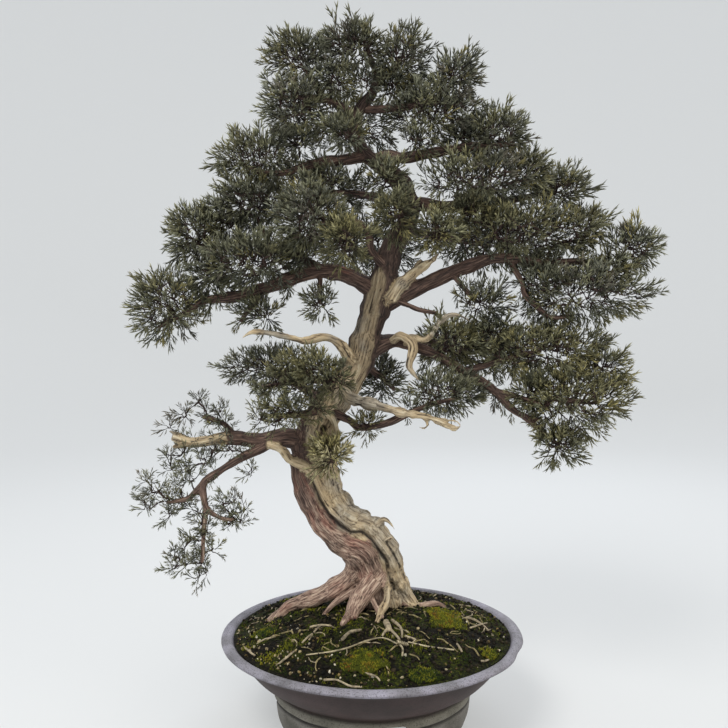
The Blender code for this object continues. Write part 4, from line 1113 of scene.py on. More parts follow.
def shape_relief(tree, samples, names):
    """Flute the limbs along their grain, then crack the deadwood and shred the bark."""
    points, normals = points_of(tree), normals_of(tree)
    nearest, grain = follow_grain(points, samples)
    dead = dead_share(points, nearest, samples, names)
    size = np.clip(samples[1][nearest] / 14.0, 0.1, 1.0)
    flute = noise_at(grain, 0.10) * FLUTE_DEPTH
    ridge = noise_at(grain + 40.0, 0.28) * RIDGE_DEPTH
    line = 1.0 - fade(np.abs(noise_at(grain + 90.0, 0.20)), 0.0, 0.09)
    shred = noise_at(grain + 130.0, 0.5) * SHRED_DEPTH
    depth = flute + ridge + dead * (-CRACK_DEPTH * line) + (1.0 - dead) * shred
    points = points + normals * (depth * size)[:, None]
    points, _ = carve(points, normals)
    move_points(tree, points)


def paint_wood(tree, samples, names):
    """Store what the material reads: grain, deadwood, red flushes and painted shade in grooves, holes and
    cracks, on the upper trunk and in painted shadow patches.
    """
    points, normals = points_of(tree), normals_of(tree)
    nearest, grain = follow_grain(points, samples)
    line = 1.0 - fade(np.abs(noise_at(grain + 90.0, 0.20)), 0.0, 0.06)
    dead = dead_share(points, nearest, samples, names)
    _, shade = carve(points, normals)
    add_attribute(tree, "grain", grain)
    add_attribute(tree, "deadwood", dead)
    add_attribute(tree, "flush", spot_share(points, grain, FLUSHES))
    add_attribute(tree, "base", 1.0 - fade(points[:, 2] + noise_at(points, 0.05) * 20, *BASE_HEIGHTS) * 0.85)
    core = samples[7][nearest] == names.index("trunk_core")
    high = HIGH_SHADE * fade(points[:, 2], *HIGH_TRUNK) * core
    # Painted shadow patches, weaker on deadwood
    painted_shadow = spot_share(points, grain, PAINTED_SHADOWS) * (1.0 - 0.6 * dead)
    add_attribute(tree, "shade", np.maximum.reduce([shade, CRACK_SHADE * line * dead, high, painted_shadow]))


# Foliage


def model_cord():
    """One growing cord, 1 long along +Z and 1 in radius: three sides, thickest near its tip."""
    deselect()
    bpy.ops.mesh.primitive_cone_add(vertices=3, radius1=1.0, radius2=0.0, depth=0.3,
                                    location=(0, 0, 0.85), end_fill_type="TRIFAN")
    cord = settle(bpy.context.object)
    for vertex in cord.data.vertices:
        if vertex.co.z < 0.75 and vertex.co.xy.length < 0.1:
            vertex.co.z = 0.0
    return take_shape(cord)


def model_stem():
    """One plain cord, 1 long along +Z and 1 in radius: three sides that end in an edge."""
    deselect()
    bpy.ops.mesh.primitive_cone_add(vertices=3, radius1=1.0, radius2=0.9, depth=1.0,
                                    location=(0, 0, 0.5), end_fill_type="NOTHING")
    stem = settle(bpy.context.object)
    top = sorted((v.co.x, v.index) for v in stem.data.vertices if v.co.z > 0.5)
    select_points(stem, lambda vertex: vertex.index in (top[0][1], top[1][1]))
    bpy.ops.mesh.merge(type="CENTER")
    bpy.ops.object.mode_set(mode="OBJECT")
    return take_shape(stem)


def model_point():
    """One side shoot or moss shoot, 1 long along +Z and 1 in radius: three bare sides to a point."""
    deselect()
    bpy.ops.mesh.primitive_cone_add(vertices=3, radius1=1.0, radius2=0.0, depth=1.0,
                                    location=(0, 0, 0.5), end_fill_type="NOTHING")
    return take_shape(settle(bpy.context.object))


def along(direction, roll):
    """A turn that takes +Z to a direction, rolled about it."""
    turn = Vector((0, 0, 1)).rotation_difference(direction).to_matrix()
    return np.array(turn @ Matrix.Rotation(roll, 3, "Z"))


def leaned(direction, hinge, degrees):
    """A direction turned about a hinge."""
    return (Matrix.Rotation(math.radians(degrees), 3, hinge) @ direction).normalized()


def fork_off(heading, degrees, bearing):
    """A direction that leans away from heading, towards a bearing round it."""
    side = heading.orthogonal().normalized()
    hinge = Matrix.Rotation(bearing, 3, heading) @ side
    return leaned(heading, hinge, degrees)


def draw_brush(rng):
    """One brush along +Z as cords: (start, end, radius, age at its start and end, kind of cord)."""
    cords = []
    point = Vector((0, 0, 0))
    heading = Vector((0, 0, 1))
    bearing = rng.uniform(0, 6)
    for step in range(3):
        heading = fork_off(heading, rng.uniform(3, 12), rng.uniform(0, 6))
        end = point + heading * rng.uniform(3.0, 4.2)
        cords.append((point, end, 1.1 - 0.12 * step, 0.12 + 0.1 * step, 0.22 + 0.1 * step, "stem"))
        for _ in range(2 + (step == 2)):
            bearing += 2.4 + rng.uniform(-0.4, 0.4)
            lean = rng.uniform(28, 56) - 13 * step
            finger = fork_off(heading, lean, bearing)
            root = point.lerp(end, rng.uniform(0.3, 1.0))
            tip = root + finger * rng.uniform(8.0, 14.5)
            # How far up the map this finger's tip reaches: the highest reach the painted highlight
            bright = rng.uniform(0.66, 1.0)
            cords.append((root, tip, 1.0, 0.34, bright, "finger"))
            for share in (rng.uniform(0.35, 0.5), rng.uniform(0.55, 0.75)):
                twist = fork_off(finger, rng.uniform(20, 38), rng.uniform(0, 6))
                base = root.lerp(tip, share)
                cords.append((base, base + twist * rng.uniform(3.8, 6.8), 1.0, 0.5, bright, "fork"))
        point = end
    return cords


def build_brush(cords, shapes):
    """A brush's points, triangles, ages and places round its cords, in millimetres."""
    points, faces, ages, rounds = [], [], [], []
    count = 0
    for start, end, radius, age_low, age_high, kind in cords:
        shape, shape_faces = shapes[kind]
        span = end - start
        turn = along(span.normalized(), 7.0 * (start.x + end.z))
        size = np.array((radius * CORD_RADIUS, radius * CORD_RADIUS, span.length))
        points.append((shape * size) @ turn.T + np.array(start))
        faces.append(shape_faces + count)
        ages.append(age_low + (age_high - age_low) * shape[:, 2])
        rounds.append(np.arctan2(shape[:, 1], shape[:, 0]) / math.pi)
        count += len(shape)
    return np.concatenate(points), np.concatenate(faces), np.concatenate(ages), np.concatenate(rounds)


def pad_egg(pad):
    """Middle and half sizes of a foliage pad."""
    across, up, depth, half_x, half_z, half_y = pad
    scale = (depth - EYE.y) / -EYE.y
    return np.array(place(across, up, depth)), np.array((half_x * scale, half_y, half_z * scale))


def nearest_gap(spot, others):
    """Distance of a spot from the nearest of the others, and which one that is."""
    gaps = ((others - spot) ** 2).sum(1)
    nearest = int(gaps.argmin())
    return math.sqrt(gaps[nearest]), nearest


def brush_places(middle, halves, fewest, rng):
    """Evenly spread places for brushes on a shell a little inside the pad, with the ways they face."""
    inner = np.maximum(halves - BRUSH_REACH, halves * 0.35)
    p = 1.6
    x, y, z = halves
    area = 4 * math.pi * (((x * y) ** p + (x * z) ** p + (y * z) ** p) / 3) ** (1 / p)
    count = max(fewest, round(area / BRUSH_FOOTPRINT))
    spots = np.full((count, 3), 1e6)
    ways = []
    for index in range(count):
        best, best_gap = None, -1.0
        for _ in range(8):
            way = Vector((rng.gauss(0, 1), rng.gauss(0, 1), rng.gauss(0, 1))).normalized()
            if way.z < 0 and rng.random() < 0.4:
                way.z = -way.z
            ripple = 1.08 + 0.5 * noise.noise(way * 1.7 + Vector(middle)) \
                + 0.25 * noise.noise(way * 4.1 + Vector(middle))
            deep = rng.choice((1.0, 1.0, 0.85, 0.5))
            spot = middle + np.array(way) * inner * ripple * deep
            gap, _ = nearest_gap(spot, spots)
            if gap > best_gap:
                best, best_gap = (spot, way), gap
        spot, way = best
        spots[index] = spot
        outward = Vector((spot[0], spot[1], 0)).normalized()
        facing = Vector(np.array(way) / halves).normalized() + 0.35 * outward + Vector((0, 0, 0.4))
        ways.append(facing.normalized())
    return spots, ways


def branch_brushes(limbs):
    """Places and ways of the shoots that grow straight from the branches, each with its pad's name."""
    rng = random.Random("branch shoots")
    names = list(PADS)
    eggs = [pad_egg(pad) for pad in PADS.values()]
    found = {name: [] for name in names}
    for limb, points in limbs.items():
        if limb in DEADWOOD or limb.startswith(("root", "trunk", "sliver")):
            continue
        path = smooth_path(points, BRANCH_BRUSH_STEP)
        first = round(BARE_SHARE.get(limb, 0.33) * len(path))
        for (point, radius), (after, _) in zip(path[first:], path[first + 1:]):
            heading = (after - point).normalized()
            for _ in range(2):
                way = fork_off(heading, rng.uniform(45, 95), rng.uniform(0, 6.3))
                way = (way + Vector((0, -0.3, 0.2))).normalized()
                spot = np.array(point + way * radius * 0.5)
                gaps = [np.linalg.norm((spot - middle) / halves) for middle, halves in eggs]
                if min(gaps) < 1.35:
                    found[names[int(np.argmin(gaps))]].append((spot, way))
    return found


def grow_twigs(spots, anchors):
    """Twigs from the branches to every brush: (start, end, how many brushes it carries)."""
    joints = np.full((len(anchors) + len(spots), 3), 1e6)
    joints[:len(anchors)] = anchors
    order = sorted(range(len(spots)), key=lambda i: nearest_gap(spots[i], anchors)[0])
    parents = {}
    count = len(anchors)
    for index in order:
        _, parents[count] = nearest_gap(spots[index], joints[:count])
        joints[count] = spots[index]
        count += 1
    loads = [0] * count
    for index in range(count - 1, len(anchors) - 1, -1):
        loads[index] += 1
        loads[parents[index]] += loads[index]
    return [(joints[parents[i]], joints[i], loads[i]) for i in parents]


def twig_cords(twigs, rng):
    """Bent twigs in two steps each, as (start, end, radius)."""
    cords = []
    for start, end, load in twigs:
        length = np.linalg.norm(end - start)
        if length < 1.0:
            continue
        sway = np.array([rng.uniform(-1, 1) for _ in range(3)]) * length * 0.13
        middle = (start + end) / 2 + sway
        radius = min(2.2, 0.5 + 0.22 * math.sqrt(load))
        cords.append((start, middle, radius))
        cords.append((middle, end, radius * 0.85))
    return cords


def make_pad(name, pad, anchors, shoots, brushes, stem_shape, material):
    """One foliage pad: twigs, brushes all round it and along its branch, each with its own green."""
    rng = random.Random("pad " + name)
    middle, halves = pad_egg(pad)
    near = np.linalg.norm((anchors - middle) / (halves + 6), axis=1)
    own = anchors[near < 1.0]
    if len(own) == 0:
        own = anchors[near.argmin()][None]
    spots, ways = np.empty((0, 3)), []
    for mass in CLUSTERS.get(name, [pad] + FILLERS.get(name, [])):
        fewest = FEWEST_IN_CLUSTER if name in CLUSTERS else FEWEST_BRUSHES
        more_spots, more_ways = brush_places(*pad_egg(mass), fewest, rng)
        spots = np.concatenate([spots, more_spots])
        ways = ways + more_ways
    tint = PAD_TINTS.get(name, 0.28)
    points, faces, maps = [], [], []
    count = 0
    for start, end, radius in twig_cords(grow_twigs(spots, own[::3]), rng):
        shape, shape_faces = stem_shape
        span = Vector(end - start)
        turn = along(span.normalized(), rng.uniform(0, 6))
        points.append((shape * (radius, radius, span.length * 1.04)) @ turn.T + start)
        faces.append(shape_faces + count)
        maps.append(np.stack([0.05 + 0.02 * shape[:, 0], 0.04 + 0.03 * shape[:, 2]], axis=1))
        count += len(shape)
    places = [(spot, way, 1.0) for spot, way in zip(spots, ways)]
    places += [(spot, way, 0.86) for spot, way in shoots]
    for spot, way, share in places:
        group = tint + 0.2 * noise.noise(Vector(spot) * 0.03) + 0.1 * noise.noise(Vector(spot) * 0.1)
        shape, shape_faces, ages, rounds = brushes[rng.randrange(BRUSH_KINDS)]
        turn = along(way, rng.uniform(0, 2 * math.pi))
        size = rng.uniform(0.75, 1.12) * share * BRUSH_SIZE.get(name, 1.0)
        if rng.random() < LEADER_SHARE:
            size *= LEADER_SIZE
        straw = 0.4 if rng.random() < 0.03 else 0.0
        u = np.clip(group + rng.gauss(0, 0.07) + straw, 0.1, 0.95) + 0.012 * rounds
        light = rng.choice((1.0, 0.94, 0.86, 0.76)) * PAD_LIGHT.get(name, USUAL_LIGHT)
        points.append((shape * size) @ turn.T + spot)
        faces.append(shape_faces + count)
        maps.append(np.stack([u, np.clip(ages * light, 0.02, 0.99)], axis=1))
        count += len(shape)
    piece = make_piece("foliage_spray_" + name, np.concatenate(points), np.concatenate(faces), material,
                       np.concatenate(maps))
    return ride(piece, "foliage", "foliage_" + name)


def make_foliage(limbs):
    """All pads, from the same few brushes."""
    shapes = {"finger": model_cord(), "fork": model_point(), "stem": model_stem()}
    rng = random.Random("brushes")
    brushes = [build_brush(draw_brush(rng), shapes) for _ in range(BRUSH_KINDS)]
    anchors = []
    for name, points in limbs.items():
        if name not in DEADWOOD and not name.startswith(("root", "sliver")):
            anchors += [np.array(position) for position, _ in smooth_path(points, 4.0)]
    anchors = np.array(anchors)
    shoots = branch_brushes(limbs)
    material = juniper_foliage()
    for name, pad in PADS.items():
        make_pad(name, pad, anchors, shoots[name], brushes, shapes["stem"], material)


# Pot


def spin_profile(name, profile, steps):
    """A turned solid: a point is extruded along the profile of (radius, height) and spun."""
    deselect()
    first = Vector((profile[0][0], 0.0, profile[0][1])) * MM
    bpy.ops.mesh.primitive_plane_add(size=MM, location=first)
    piece = settle(bpy.context.object)
    rename(piece, name)
    bpy.ops.object.mode_set(mode="EDIT")
    bpy.ops.mesh.select_mode(type="VERT")
    bpy.ops.mesh.select_all(action="SELECT")
    bpy.ops.mesh.merge(type="CENTER")
    for (radius, height), (next_radius, next_height) in zip(profile, profile[1:]):
        step = ((next_radius - radius) * MM, 0.0, (next_height - height) * MM)
        bpy.ops.mesh.extrude_vertices_move(TRANSFORM_OT_translate={"value": step})
    bpy.ops.mesh.select_all(action="SELECT")
    bpy.ops.mesh.spin(steps=steps, angle=2 * math.pi, center=(0, 0, 0), axis=(0, 0, 1))
    bpy.ops.object.mode_set(mode="OBJECT")
    weld(piece, SPIN_WELD)
    piece.location = POT_FOOT * MM
    return settle(piece)


def eased(points, step):
    """A profile smoothed through its points."""
    path = smooth_path([(Vector((radius, 0.0, height)), 0.0) for radius, height in points], step)
    return [(position.x, position.z) for position, _ in path]


def pot_inner():
    """Inner side of the pot from the floor's edge up to the lip."""
    return [(86, FLOOR_TOP), (97, 46.5), (109, 55), (121, 65.5), (131.5, 76.5), (137.6, 83.2)]


def make_pot():
    """The turned pot: rounded lip, bowl, bead over the foot, foot ring with arches, drain holes."""
    wall = eased(pot_inner() + [(139.4, 84.8), (141.8, 85.2), (145, RIM_HEIGHT), (147.4, 83.8), (148, 82.4),
                                (147.4, 80.8), (145.2, 79.7), (140.5, 79.0), (136.5, 77.4), (132.5, 73.4),
                                (126, 63.4), (115, 51), (104.5, 43.6), (99, 40), (97.6, 38.6)], 2.2)
    bead = eased([(97.4, 37.6), (98.3, 36.4), (98.6, 33), (98.2, 29.8), (97.2, 28.4)], 1.0)
    groove = [(96.0, 27.7), (95.7, 27.2), (96.1, 26.6)]
    foot = eased([(97, 25.9), (96.6, 20), (95.2, 12), (92.6, 4.5), (91.2, 1.4), (89.4, 0.2)], 2.2)
    under = [(88.5, 0), (FOOT_INNER + 1.5, 0), (FOOT_INNER, 1.2), (FOOT_INNER, 18), (81, 27),
             (78, FLOOR_UNDER - 0.6), (74, FLOOR_UNDER), (40, FLOOR_UNDER), (0, FLOOR_UNDER)]
    pot = spin_profile("clay_pot", [(0, FLOOR_TOP), (40, FLOOR_TOP)] + wall + bead + groove + foot + under,
                       POT_STEPS)
    for index in range(ARCH_COUNT):
        cut(pot, arch_cutter(ARCH_TURN + index * 2 * math.pi / ARCH_COUNT))
    for side in (-1, 1):
        deselect()
        spot = (POT_FOOT + (side * DRAIN_SPREAD, 0, FLOOR_TOP)) * MM
        bpy.ops.mesh.primitive_cylinder_add(vertices=48, radius=DRAIN_RADIUS * MM, depth=30 * MM,
                                            location=spot)
        cut(pot, bpy.context.object)
    points = points_of(pot)
    outward = points * (1, 1, 0)
    reach = np.linalg.norm(outward, axis=1, keepdims=True) + 1e-6
    wave = noise_at(points, 0.03)[:, None] * 0.5 + noise_at(points + 50.0, 0.12)[:, None] * 0.12
    moved = points + outward / reach * wave * fade(points[:, 2], 4, 20)[:, None]
    angle = np.degrees(np.arctan2(moved[:, 0], -moved[:, 1]))
    chip = np.exp(-((angle - CHIP_ANGLE) / CHIP_SPAN) ** 2) * fade(reach[:, 0], 142, 147)
    moved[:, :2] -= (outward / reach)[:, :2] * (chip * CHIP_DEPTH)[:, None]
    move_points(pot, moved)
    apply_modifier(pot, "BEVEL", width=0.8 * MM, segments=2, limit_method="ANGLE",
                   angle_limit=math.radians(50))
    choose(pot)
    bpy.ops.object.shade_smooth_by_angle(angle=math.radians(40))
    pot.data.materials.append(fired_clay())
    return ride(pot, "pot", "pot")


def cut(piece, cutter):
    """Cut one object out of another and remove it."""
    apply_modifier(piece, "BOOLEAN", operation="DIFFERENCE", object=cutter, solver="EXACT")
    bpy.data.objects.remove(cutter, do_unlink=True)


def arch_cutter(turn):
    """A block with rounded upper corners that cuts one arch into the foot ring."""
    low = -ARCH_CORNER - 0.3
    through = 3 * (FOOT_RADIUS - FOOT_INNER)
    middle = Vector((0, -(FOOT_INNER + FOOT_RADIUS) / 2, (ARCH_HEIGHT + low) / 2)) * MM
    deselect()
    bpy.ops.mesh.primitive_cube_add(size=MM, location=middle,
                                    scale=(ARCH_WIDTH, through, ARCH_HEIGHT - low))
    cutter = settle(bpy.context.object)
    select_points(cutter, lambda vertex: False)
    bpy.ops.mesh.select_mode(type="EDGE")
    bpy.ops.object.mode_set(mode="OBJECT")
    for edge in cutter.data.edges:
        ends = [cutter.data.vertices[i].co for i in edge.vertices]
        edge.select = all(end.z > middle.z for end in ends) and abs(ends[0].y - ends[1].y) > MM
    bpy.ops.object.mode_set(mode="EDIT")
    bpy.ops.mesh.bevel(offset=ARCH_CORNER * MM, segments=6)
    bpy.ops.object.mode_set(mode="OBJECT")
    cutter.rotation_euler = (0, 0, turn)
    cutter.location = POT_FOOT * MM
    return settle(cutter)


# Soil and what lies on it


def rough_soil(points):
    """How far the lumps of the soil stand above or below its mound."""
    return noise_at(points * (1, 1, 0), 0.045) * 2.4 + noise_at(points * (1, 1, 0) + 30, 0.16) * 1.5 \
        + noise_at(points * (1, 1, 0) + 70, 0.4) * 0.8


def make_soil():
    """The mound of soil, lumpy on top."""
    screen_room = FLOOR_TOP + 1.8
    rings = [(radius, soil_height(radius, 0)) for radius in np.linspace(0, SOIL_EDGE, 62)]
    side = [(radius - 0.45, height + 0.3) for radius, height in reversed(pot_inner()[:-1])]
    under = [(62, FLOOR_TOP + 0.3), (60, screen_room), (0, screen_room)]
    soil = spin_profile("soil_mound", rings + side + under, 150)
    points = points_of(soil)
    top = np.abs(points[:, 2] - soil_height(points[:, 0], points[:, 1])) < 0.5
    inside = 1.0 - fade(np.hypot(points[:, 0], points[:, 1]), SOIL_EDGE - 8, SOIL_EDGE - 1)
    points[:, 2] += np.where(top, rough_soil(points) * inside, 0.0)
    move_points(soil, points)
    choose(soil)
    bpy.ops.object.shade_smooth_by_angle(angle=math.radians(60))
    soil.data.materials.append(bonsai_soil())
    return ride(soil, "soil", "soil")


def model_grains():
    """Three broken grains of about 1 mm half width."""
    shapes = []
    for seed in range(3):
        deselect()
        bpy.ops.mesh.primitive_ico_sphere_add(subdivisions=1, radius=1.0)
        grain = bpy.context.object
        for vertex in grain.data.vertices:
            vertex.co *= 1.0 + 0.35 * noise.noise(vertex.co * 1.3 + Vector((seed * 9.0, 0, 0)))
            vertex.co.z *= 0.75
        shapes.append(take_shape(grain))
    return shapes


def scatter(name, shapes, spots, material, slot):
    """Copies of shapes at spots of (place, turn, size, map place), in one piece."""
    points, faces, maps = [], [], []
    count = 0
    for index, (spot, turn, size, (u, v_low, v_high)) in enumerate(spots):
        shape, shape_faces = shapes[index % len(shapes)]
        points.append((shape * size) @ turn.T + spot)
        faces.append(shape_faces + count)
        rise = (shape[:, 2] - shape[:, 2].min()) / np.ptp(shape[:, 2])
        across = u + 0.01 * shape[:, 0] / np.abs(shape[:, 0]).max()
        maps.append(np.stack([across, v_low + (v_high - v_low) * rise], axis=1))
        count += len(shape)
    piece = make_piece(name, np.concatenate(points), np.concatenate(faces), material,
                       np.concatenate(maps))
    return ride(piece, slot)


def soil_spot(rng, reach):
    """A random place on the soil."""
    while True:
        x, y = rng.uniform(-reach, reach), rng.uniform(-reach, reach)
        if math.hypot(x, y) < reach:
            return x, y


def surface_height(x, y):
    """Height of the lumpy soil over a point."""
    spot = np.array([[x, y, 0.0]])
    inside = 1.0 - fade(np.array([math.hypot(x, y)]), SOIL_EDGE - 8, SOIL_EDGE - 1)[0]
    return soil_height(x, y) + rough_soil(spot)[0] * inside


def make_grains():
    """Loose grains: dark loam everywhere, pale pumice densest at the left front."""
    rng = random.Random("grains")
    spots = []
    while len(spots) < GRAIN_COUNT:
        x, y = soil_spot(rng, SOIL_EDGE - 2)
        bearing = math.degrees(math.atan2(x, -y))
        edge = math.hypot(x, y) / SOIL_EDGE
        pale = PALE_SHARE + 0.8 * math.exp(-((bearing - PALE_BEARING) / PALE_SPREAD) ** 2) \
            * max(0.0, edge - 0.45) / 0.55
        is_pale = rng.random() < pale
        size = 0.55 + 1.2 * rng.random() ** 2 if is_pale else rng.uniform(0.8, 2.2)
        tint = 0.44 + 0.5 * rng.random() ** 1.5 if is_pale else rng.uniform(0.0, 0.4)
        turn = along(Vector((rng.gauss(0, 1), rng.gauss(0, 1), rng.gauss(0, 1))).normalized(), 0.0)
        spot = np.array((x, y, surface_height(x, y) + size * 0.25))
        spots.append((spot, turn, size, (tint, 0.35, 0.98)))
    material = mapped_colours("pumice_and_loam", [
        (0.0, "#0A0A08"), (0.2, "#1D1A14"), (0.4, "#3E3526"), (0.56, "#857148"), (0.75, "#C2B28C"),
        (0.95, "#ECE6D6")], 0.85)
    grains = scatter("soil_grains", model_grains(), spots, material, "soil")
    grains.data.polygons.foreach_set("use_smooth", [False] * len(grains.data.polygons))
    return grains


def moss_colours():
    """Cushion moss: soft, yellow green at the shoots' tips, rusty where it dries."""
    return mapped_colours("cushion_moss", [
        (0.0, "#1C2A10"), (0.25, "#3E4F16"), (0.5, "#757A1E"), (0.7, "#A5A32C"), (0.86, "#8A6A24"),
        (1.0, "#A0521C")], 0.9)


def moss_shoot(rng, x, y, z, tint):
    """Place, turn, size and tint of one moss shoot."""
    lean = Vector((rng.gauss(0, 0.45), rng.gauss(0, 0.45), 1.0)).normalized()
    size = np.array((0.55, 0.55, rng.uniform(1.6, 3.0)))
    shade = min(0.97, max(0.03, tint + rng.gauss(0, 0.09)))
    return np.array((x, y, z)), along(lean, rng.uniform(0, 6)), size, (shade, 0.05, 0.98)


def moss_cushion(name, patch, leaflet, material):
    """A low cushion, closed below, covered with shoots."""
    across, up, half_x, half_y, thickness = patch
    middle = on_soil(across, up, 0.0)
    rng = random.Random("moss " + name)
    deselect()
    bpy.ops.mesh.primitive_uv_sphere_add(segments=28, ring_count=12, radius=1.0)
    shape, faces = take_shape(bpy.context.object)
    ripple = 0.95 + MOSS_RIPPLE * noise_at(np.stack([shape[:, 0] * 2.4, shape[:, 1] * 2.4,
                                                     np.full(len(shape), middle.x)], axis=1), 1.0)
    x = middle.x + shape[:, 0] * half_x * ripple
    y = middle.y + shape[:, 1] * half_y * ripple
    inside = np.minimum(1.0, MOSS_EDGE / np.hypot(x, y))
    x, y = x * inside, y * inside
    bumps = noise_at(np.stack([x, y, x * 0], axis=1), 0.22) * MOSS_BUMP
    rise = np.maximum(shape[:, 2], -0.05) * (thickness - 2.0) + bumps * (shape[:, 2] > 0)
    z = soil_height(x, y) + MOSS_LIFT + rise
    dome = np.stack([x, y, z], axis=1)
    # Painted shade: the dome seen between the shoots takes a darker green and the dark low end of the map
    points, all_faces, maps = [dome], [faces], [np.stack([
        np.clip(MOSS_TINTS[name] - 0.2 + 0.01 * shape[:, 0], 0.02, 0.98), 0.2 + 0.2 * shape[:, 2]], axis=1)]
    count = len(dome)
    shoots = round(half_x * half_y * math.pi * MOSS_DENSITY)
    for _ in range(shoots):
        radius, bearing = math.sqrt(rng.random()), rng.uniform(0, 2 * math.pi)
        sx, sy = radius * math.cos(bearing), radius * math.sin(bearing)
        wave = 0.95 + MOSS_RIPPLE * noise.noise(Vector((sx * 2.4, sy * 2.4, middle.x)))
        px, py = middle.x + sx * half_x * wave, middle.y + sy * half_y * wave
        keep = min(1.0, MOSS_EDGE / math.hypot(px, py))
        px, py = px * keep, py * keep
        bump = noise.noise(Vector((px, py, 0)) * 0.22) * MOSS_BUMP
        rise = math.sqrt(max(0.0, 1 - radius * radius)) * (thickness - 2.0) + bump
        pz = soil_height(px, py) + MOSS_LIFT + rise
        tint = MOSS_TINTS[name] + 0.55 * noise.noise(Vector((px, py, 5)) * 0.14)
        spot, turn, size, (u, v_low, v_high) = moss_shoot(rng, px, py, pz - 0.4, tint)
        points.append((leaflet[0] * size) @ turn.T + spot)
        all_faces.append(leaflet[1] + count)
        maps.append(np.stack([u + 0.01 * leaflet[0][:, 0], v_low + (v_high - v_low) * leaflet[0][:, 2]],
                             axis=1))
        count += len(leaflet[0])
    piece = make_piece("moss_shoots_" + name, np.concatenate(points), np.concatenate(all_faces), material,
                       np.clip(np.concatenate(maps), 0.01, 0.99))
    return ride(piece, "moss", "moss_" + name)


def make_moss():
    """The cushions, and single shoots where moss creeps over the soil."""
    leaflet, material = model_point(), moss_colours()
    for name, patch in MOSS.items():
        moss_cushion(name, patch, leaflet, material)
    rng = random.Random("creeping moss")
    spots = []
    while len(spots) < CREEPING_SHOOTS:
        x, y = soil_spot(rng, MOSS_EDGE)
        cover = noise.noise(Vector((x, y, 11)) * 0.05) + 0.5 * noise.noise(Vector((x, y, 3)) * 0.14)
        if cover > 0.3 * rng.random():
            tint = 0.34 + 0.6 * noise.noise(Vector((x, y, 20)) * 0.04)
            spots.append(moss_shoot(rng, x, y, surface_height(x, y) - 0.4, tint))
    scatter("creeping_moss", [leaflet], spots, material, "moss")


def tube(name, path, material, roundness=2):
    """A smooth tube through (point, radius) pairs, as a mesh object."""
    holder = limb_curve(path)
    holder.data.bevel_resolution = roundness
    choose(holder)
    bpy.ops.object.convert(target="MESH")
    piece = bpy.context.object
    rename(piece, name)
    weld(piece, TUBE_WELD)
    coat(piece, material)
    return piece


def join(name, pieces):
    """Join objects into one."""
    deselect()
    for piece in pieces:
        piece.select_set(True)
    bpy.context.view_layer.objects.active = pieces[0]
    bpy.ops.object.join()
    rename(pieces[0], name)
    return pieces[0]


def make_fine_roots():
    """Thin surface roots that fork and arch over the soil."""
    material = plain_paint("root_bark", "#BDAE92", 0.85)
    tubes = []
    for name, (radius, route) in FINE_ROOTS.items():
        points = [(on_soil(across, up, lift + radius * 0.3), radius * (1.0 - 0.3 * i / len(route)))
                  for i, (across, up, lift) in enumerate(route)]
        tubes.append(tube(name, smooth_path(points, 1.5), material))
    rng = random.Random("rootlets")
    straw = plain_paint("dry_rootlet", "#A89A6E", 0.9)
    for index in range(ROOTLET_COUNT):
        x, y = soil_spot(rng, SOIL_EDGE - 22)
        bearing, radius = rng.uniform(0, 2 * math.pi), rng.uniform(0.35, 0.8)
        route = []
        for lift in (-0.6, 0.7, 1.2, 0.6, -0.6):
            route.append((Vector((x, y, surface_height(x, y) + lift)), radius))
            bearing += rng.uniform(-0.7, 0.7)
            x, y = x + 4.6 * math.cos(bearing), y + 4.6 * math.sin(bearing)
        tubes.append(tube(f"rootlet_{index}", smooth_path(route, 2.4), straw if index % 3 else material, 1))
    return ride(join("fine_roots", tubes), "wood")


def make_wire():
    """Anchor wire: two runs over the soil that meet in a twisted knot."""
    material = plain_paint("aluminium_wire", "#C9BC9B", 0.5, 0.6)
    runs = []
    left = [point for point in TIE_ROUTE if point[0] <= 25]
    right = [point for point in TIE_ROUTE if point[0] >= 36]
    for number, route in enumerate((left, right)):
        points = [(on_soil(across, up, 1.3), TIE_RADIUS) for across, up in route]
        runs.append(tube(f"wire_run_{number}", smooth_path(points, 1.5), material))
    knot_start, knot_end = on_soil(25, 71, 2.0), on_soil(36, 68, 2.0)
    for phase in (0.0, math.pi):
        twist = []
        for i in range(40):
            t = i / 39
            middle = knot_start.lerp(knot_end, t)
            turn = phase + t * 2.5 * 2 * math.pi
            twist.append((middle + Vector((0, math.cos(turn), math.sin(turn))) * 1.15, TIE_RADIUS))
        runs.append(tube("wire_twist", twist, material))
    tail = [(on_soil(across, up, 2.2), TIE_RADIUS) for across, up in ((28, 68), (30.6, 64.4), (30.3, 57))]
    runs.append(tube("wire_tail", smooth_path(tail, 1.5), material))
    return ride(join("tie_wire", runs), "anchor_wire", "anchor_wire")


def make_screens():
    """Woven plastic mesh squares over the drain holes."""
    material = plain_paint("black_polyethylene", "#2A2C2A", 0.6)
    for side in ("left", "right"):
        low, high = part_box("drain_screen_" + side)
        deselect()
        bpy.ops.mesh.primitive_grid_add(x_subdivisions=16, y_subdivisions=16, size=high.x - low.x,
                                        location=(low + high) / 2)
        screen = settle(bpy.context.object)
        rename(screen, f"mesh_square_{side}")
        apply_modifier(screen, "WIREFRAME", thickness=high.z - low.z, use_boundary=True)
        screen.data.materials.append(material)
        ride(screen, "drain_screen", "drain_screen_" + side)


# Room, light and eye


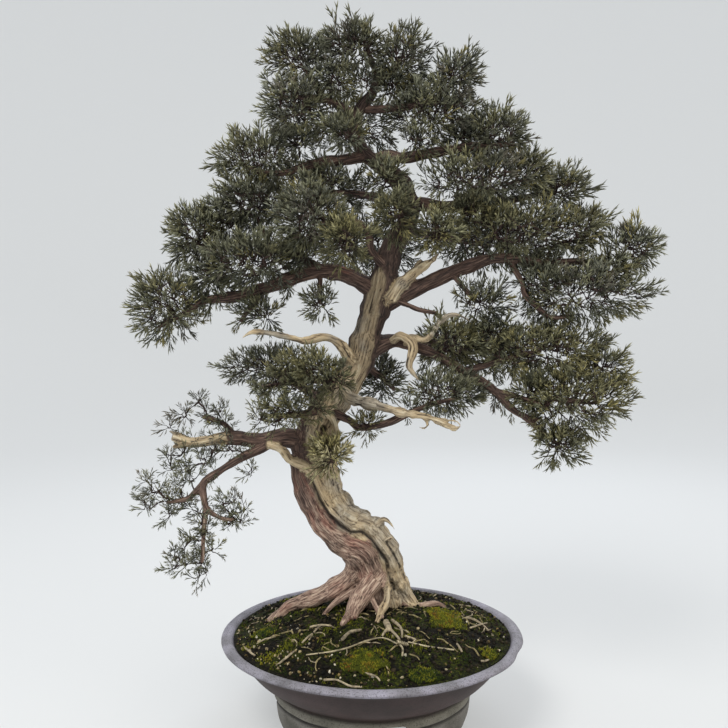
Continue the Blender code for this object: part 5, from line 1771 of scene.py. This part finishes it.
def make_stage():
    """A pale floor that rises into a pale wall all round."""
    profile = [(0, 0), (400, 0), (1200, 0), (2000, 0), (2600, 60), (3100, 330), (3400, 900), (3500, 1800),
               (3500, 2800)]
    floor = spin_profile("studio_floor", eased(profile, 120), 96)
    floor.location = (0, 0, -0.0002)
    settle(floor)
    choose(floor)
    bpy.ops.object.mode_set(mode="EDIT")
    bpy.ops.mesh.select_all(action="SELECT")
    bpy.ops.mesh.flip_normals()
    bpy.ops.object.mode_set(mode="OBJECT")
    floor.data.polygons.foreach_set("use_smooth", [True] * len(floor.data.polygons))
    material, shader = new_material("studio_paper", Roughness=0.9, Emission_Strength=0.38)
    shader.inputs["Base Color"].default_value = linear("#ADAFB1")
    shader.inputs["Emission Color"].default_value = linear("#F4F6F6")
    floor.data.materials.append(material)


def area_light(name, spot, size, power, code):
    """A soft square light that points at the middle of the tree."""
    lamp = bpy.data.lights.new(name, "AREA")
    lamp.size = size
    lamp.energy = power
    lamp.color = linear(code)[:3]
    holder = bpy.data.objects.new(name, lamp)
    bpy.context.scene.collection.objects.link(holder)
    holder.location = spot
    aim = Vector((0, 0, 0.35)) - Vector(spot)
    holder.rotation_euler = aim.to_track_quat("-Z", "Y").to_euler()


def make_light():
    """Even daylight from above and in front, a little warmer at the right."""
    world = bpy.data.worlds.new("studio_air")
    bpy.context.scene.world = world
    world.use_nodes = True
    air = world.node_tree.nodes["Background"]
    air.inputs["Color"].default_value = linear("#E8ECEF")
    air.inputs["Strength"].default_value = 0.66
    area_light("key_light", (-0.8, -1.2, 1.8), 0.9, 27, "#FFFBF4")
    area_light("fill_light", (1.6, -1.0, 1.0), 1.4, 10, "#FFF0DA")
    area_light("back_light", (0.4, 1.6, 1.7), 1.4, 14, "#F2F7FF")


def make_camera():
    """The eye: level, 349 mm above the floor and 740 mm in front of the pot's axis."""
    lens = bpy.data.cameras.new("eye")
    lens.sensor_width = LENS_WIDTH
    lens.lens = LENS_WIDTH * -EYE.y / PICTURE
    lens.clip_start = 0.01
    eye = bpy.data.objects.new("eye", lens)
    bpy.context.scene.collection.objects.link(eye)
    eye.location = (np.array(EYE) + POT_FOOT) * MM
    eye.rotation_euler = (math.radians(90), 0, 0)
    bpy.context.scene.camera = eye


def main():
    """Model everything."""
    scene = bpy.context.scene
    scene.view_settings.view_transform = "Standard"
    make_camera()
    make_light()
    make_stage()
    make_pot()
    make_soil()
    make_grains()
    make_moss()
    make_wire()
    make_screens()
    make_fine_roots()
    limbs = make_wood()
    make_foliage(limbs)


main()
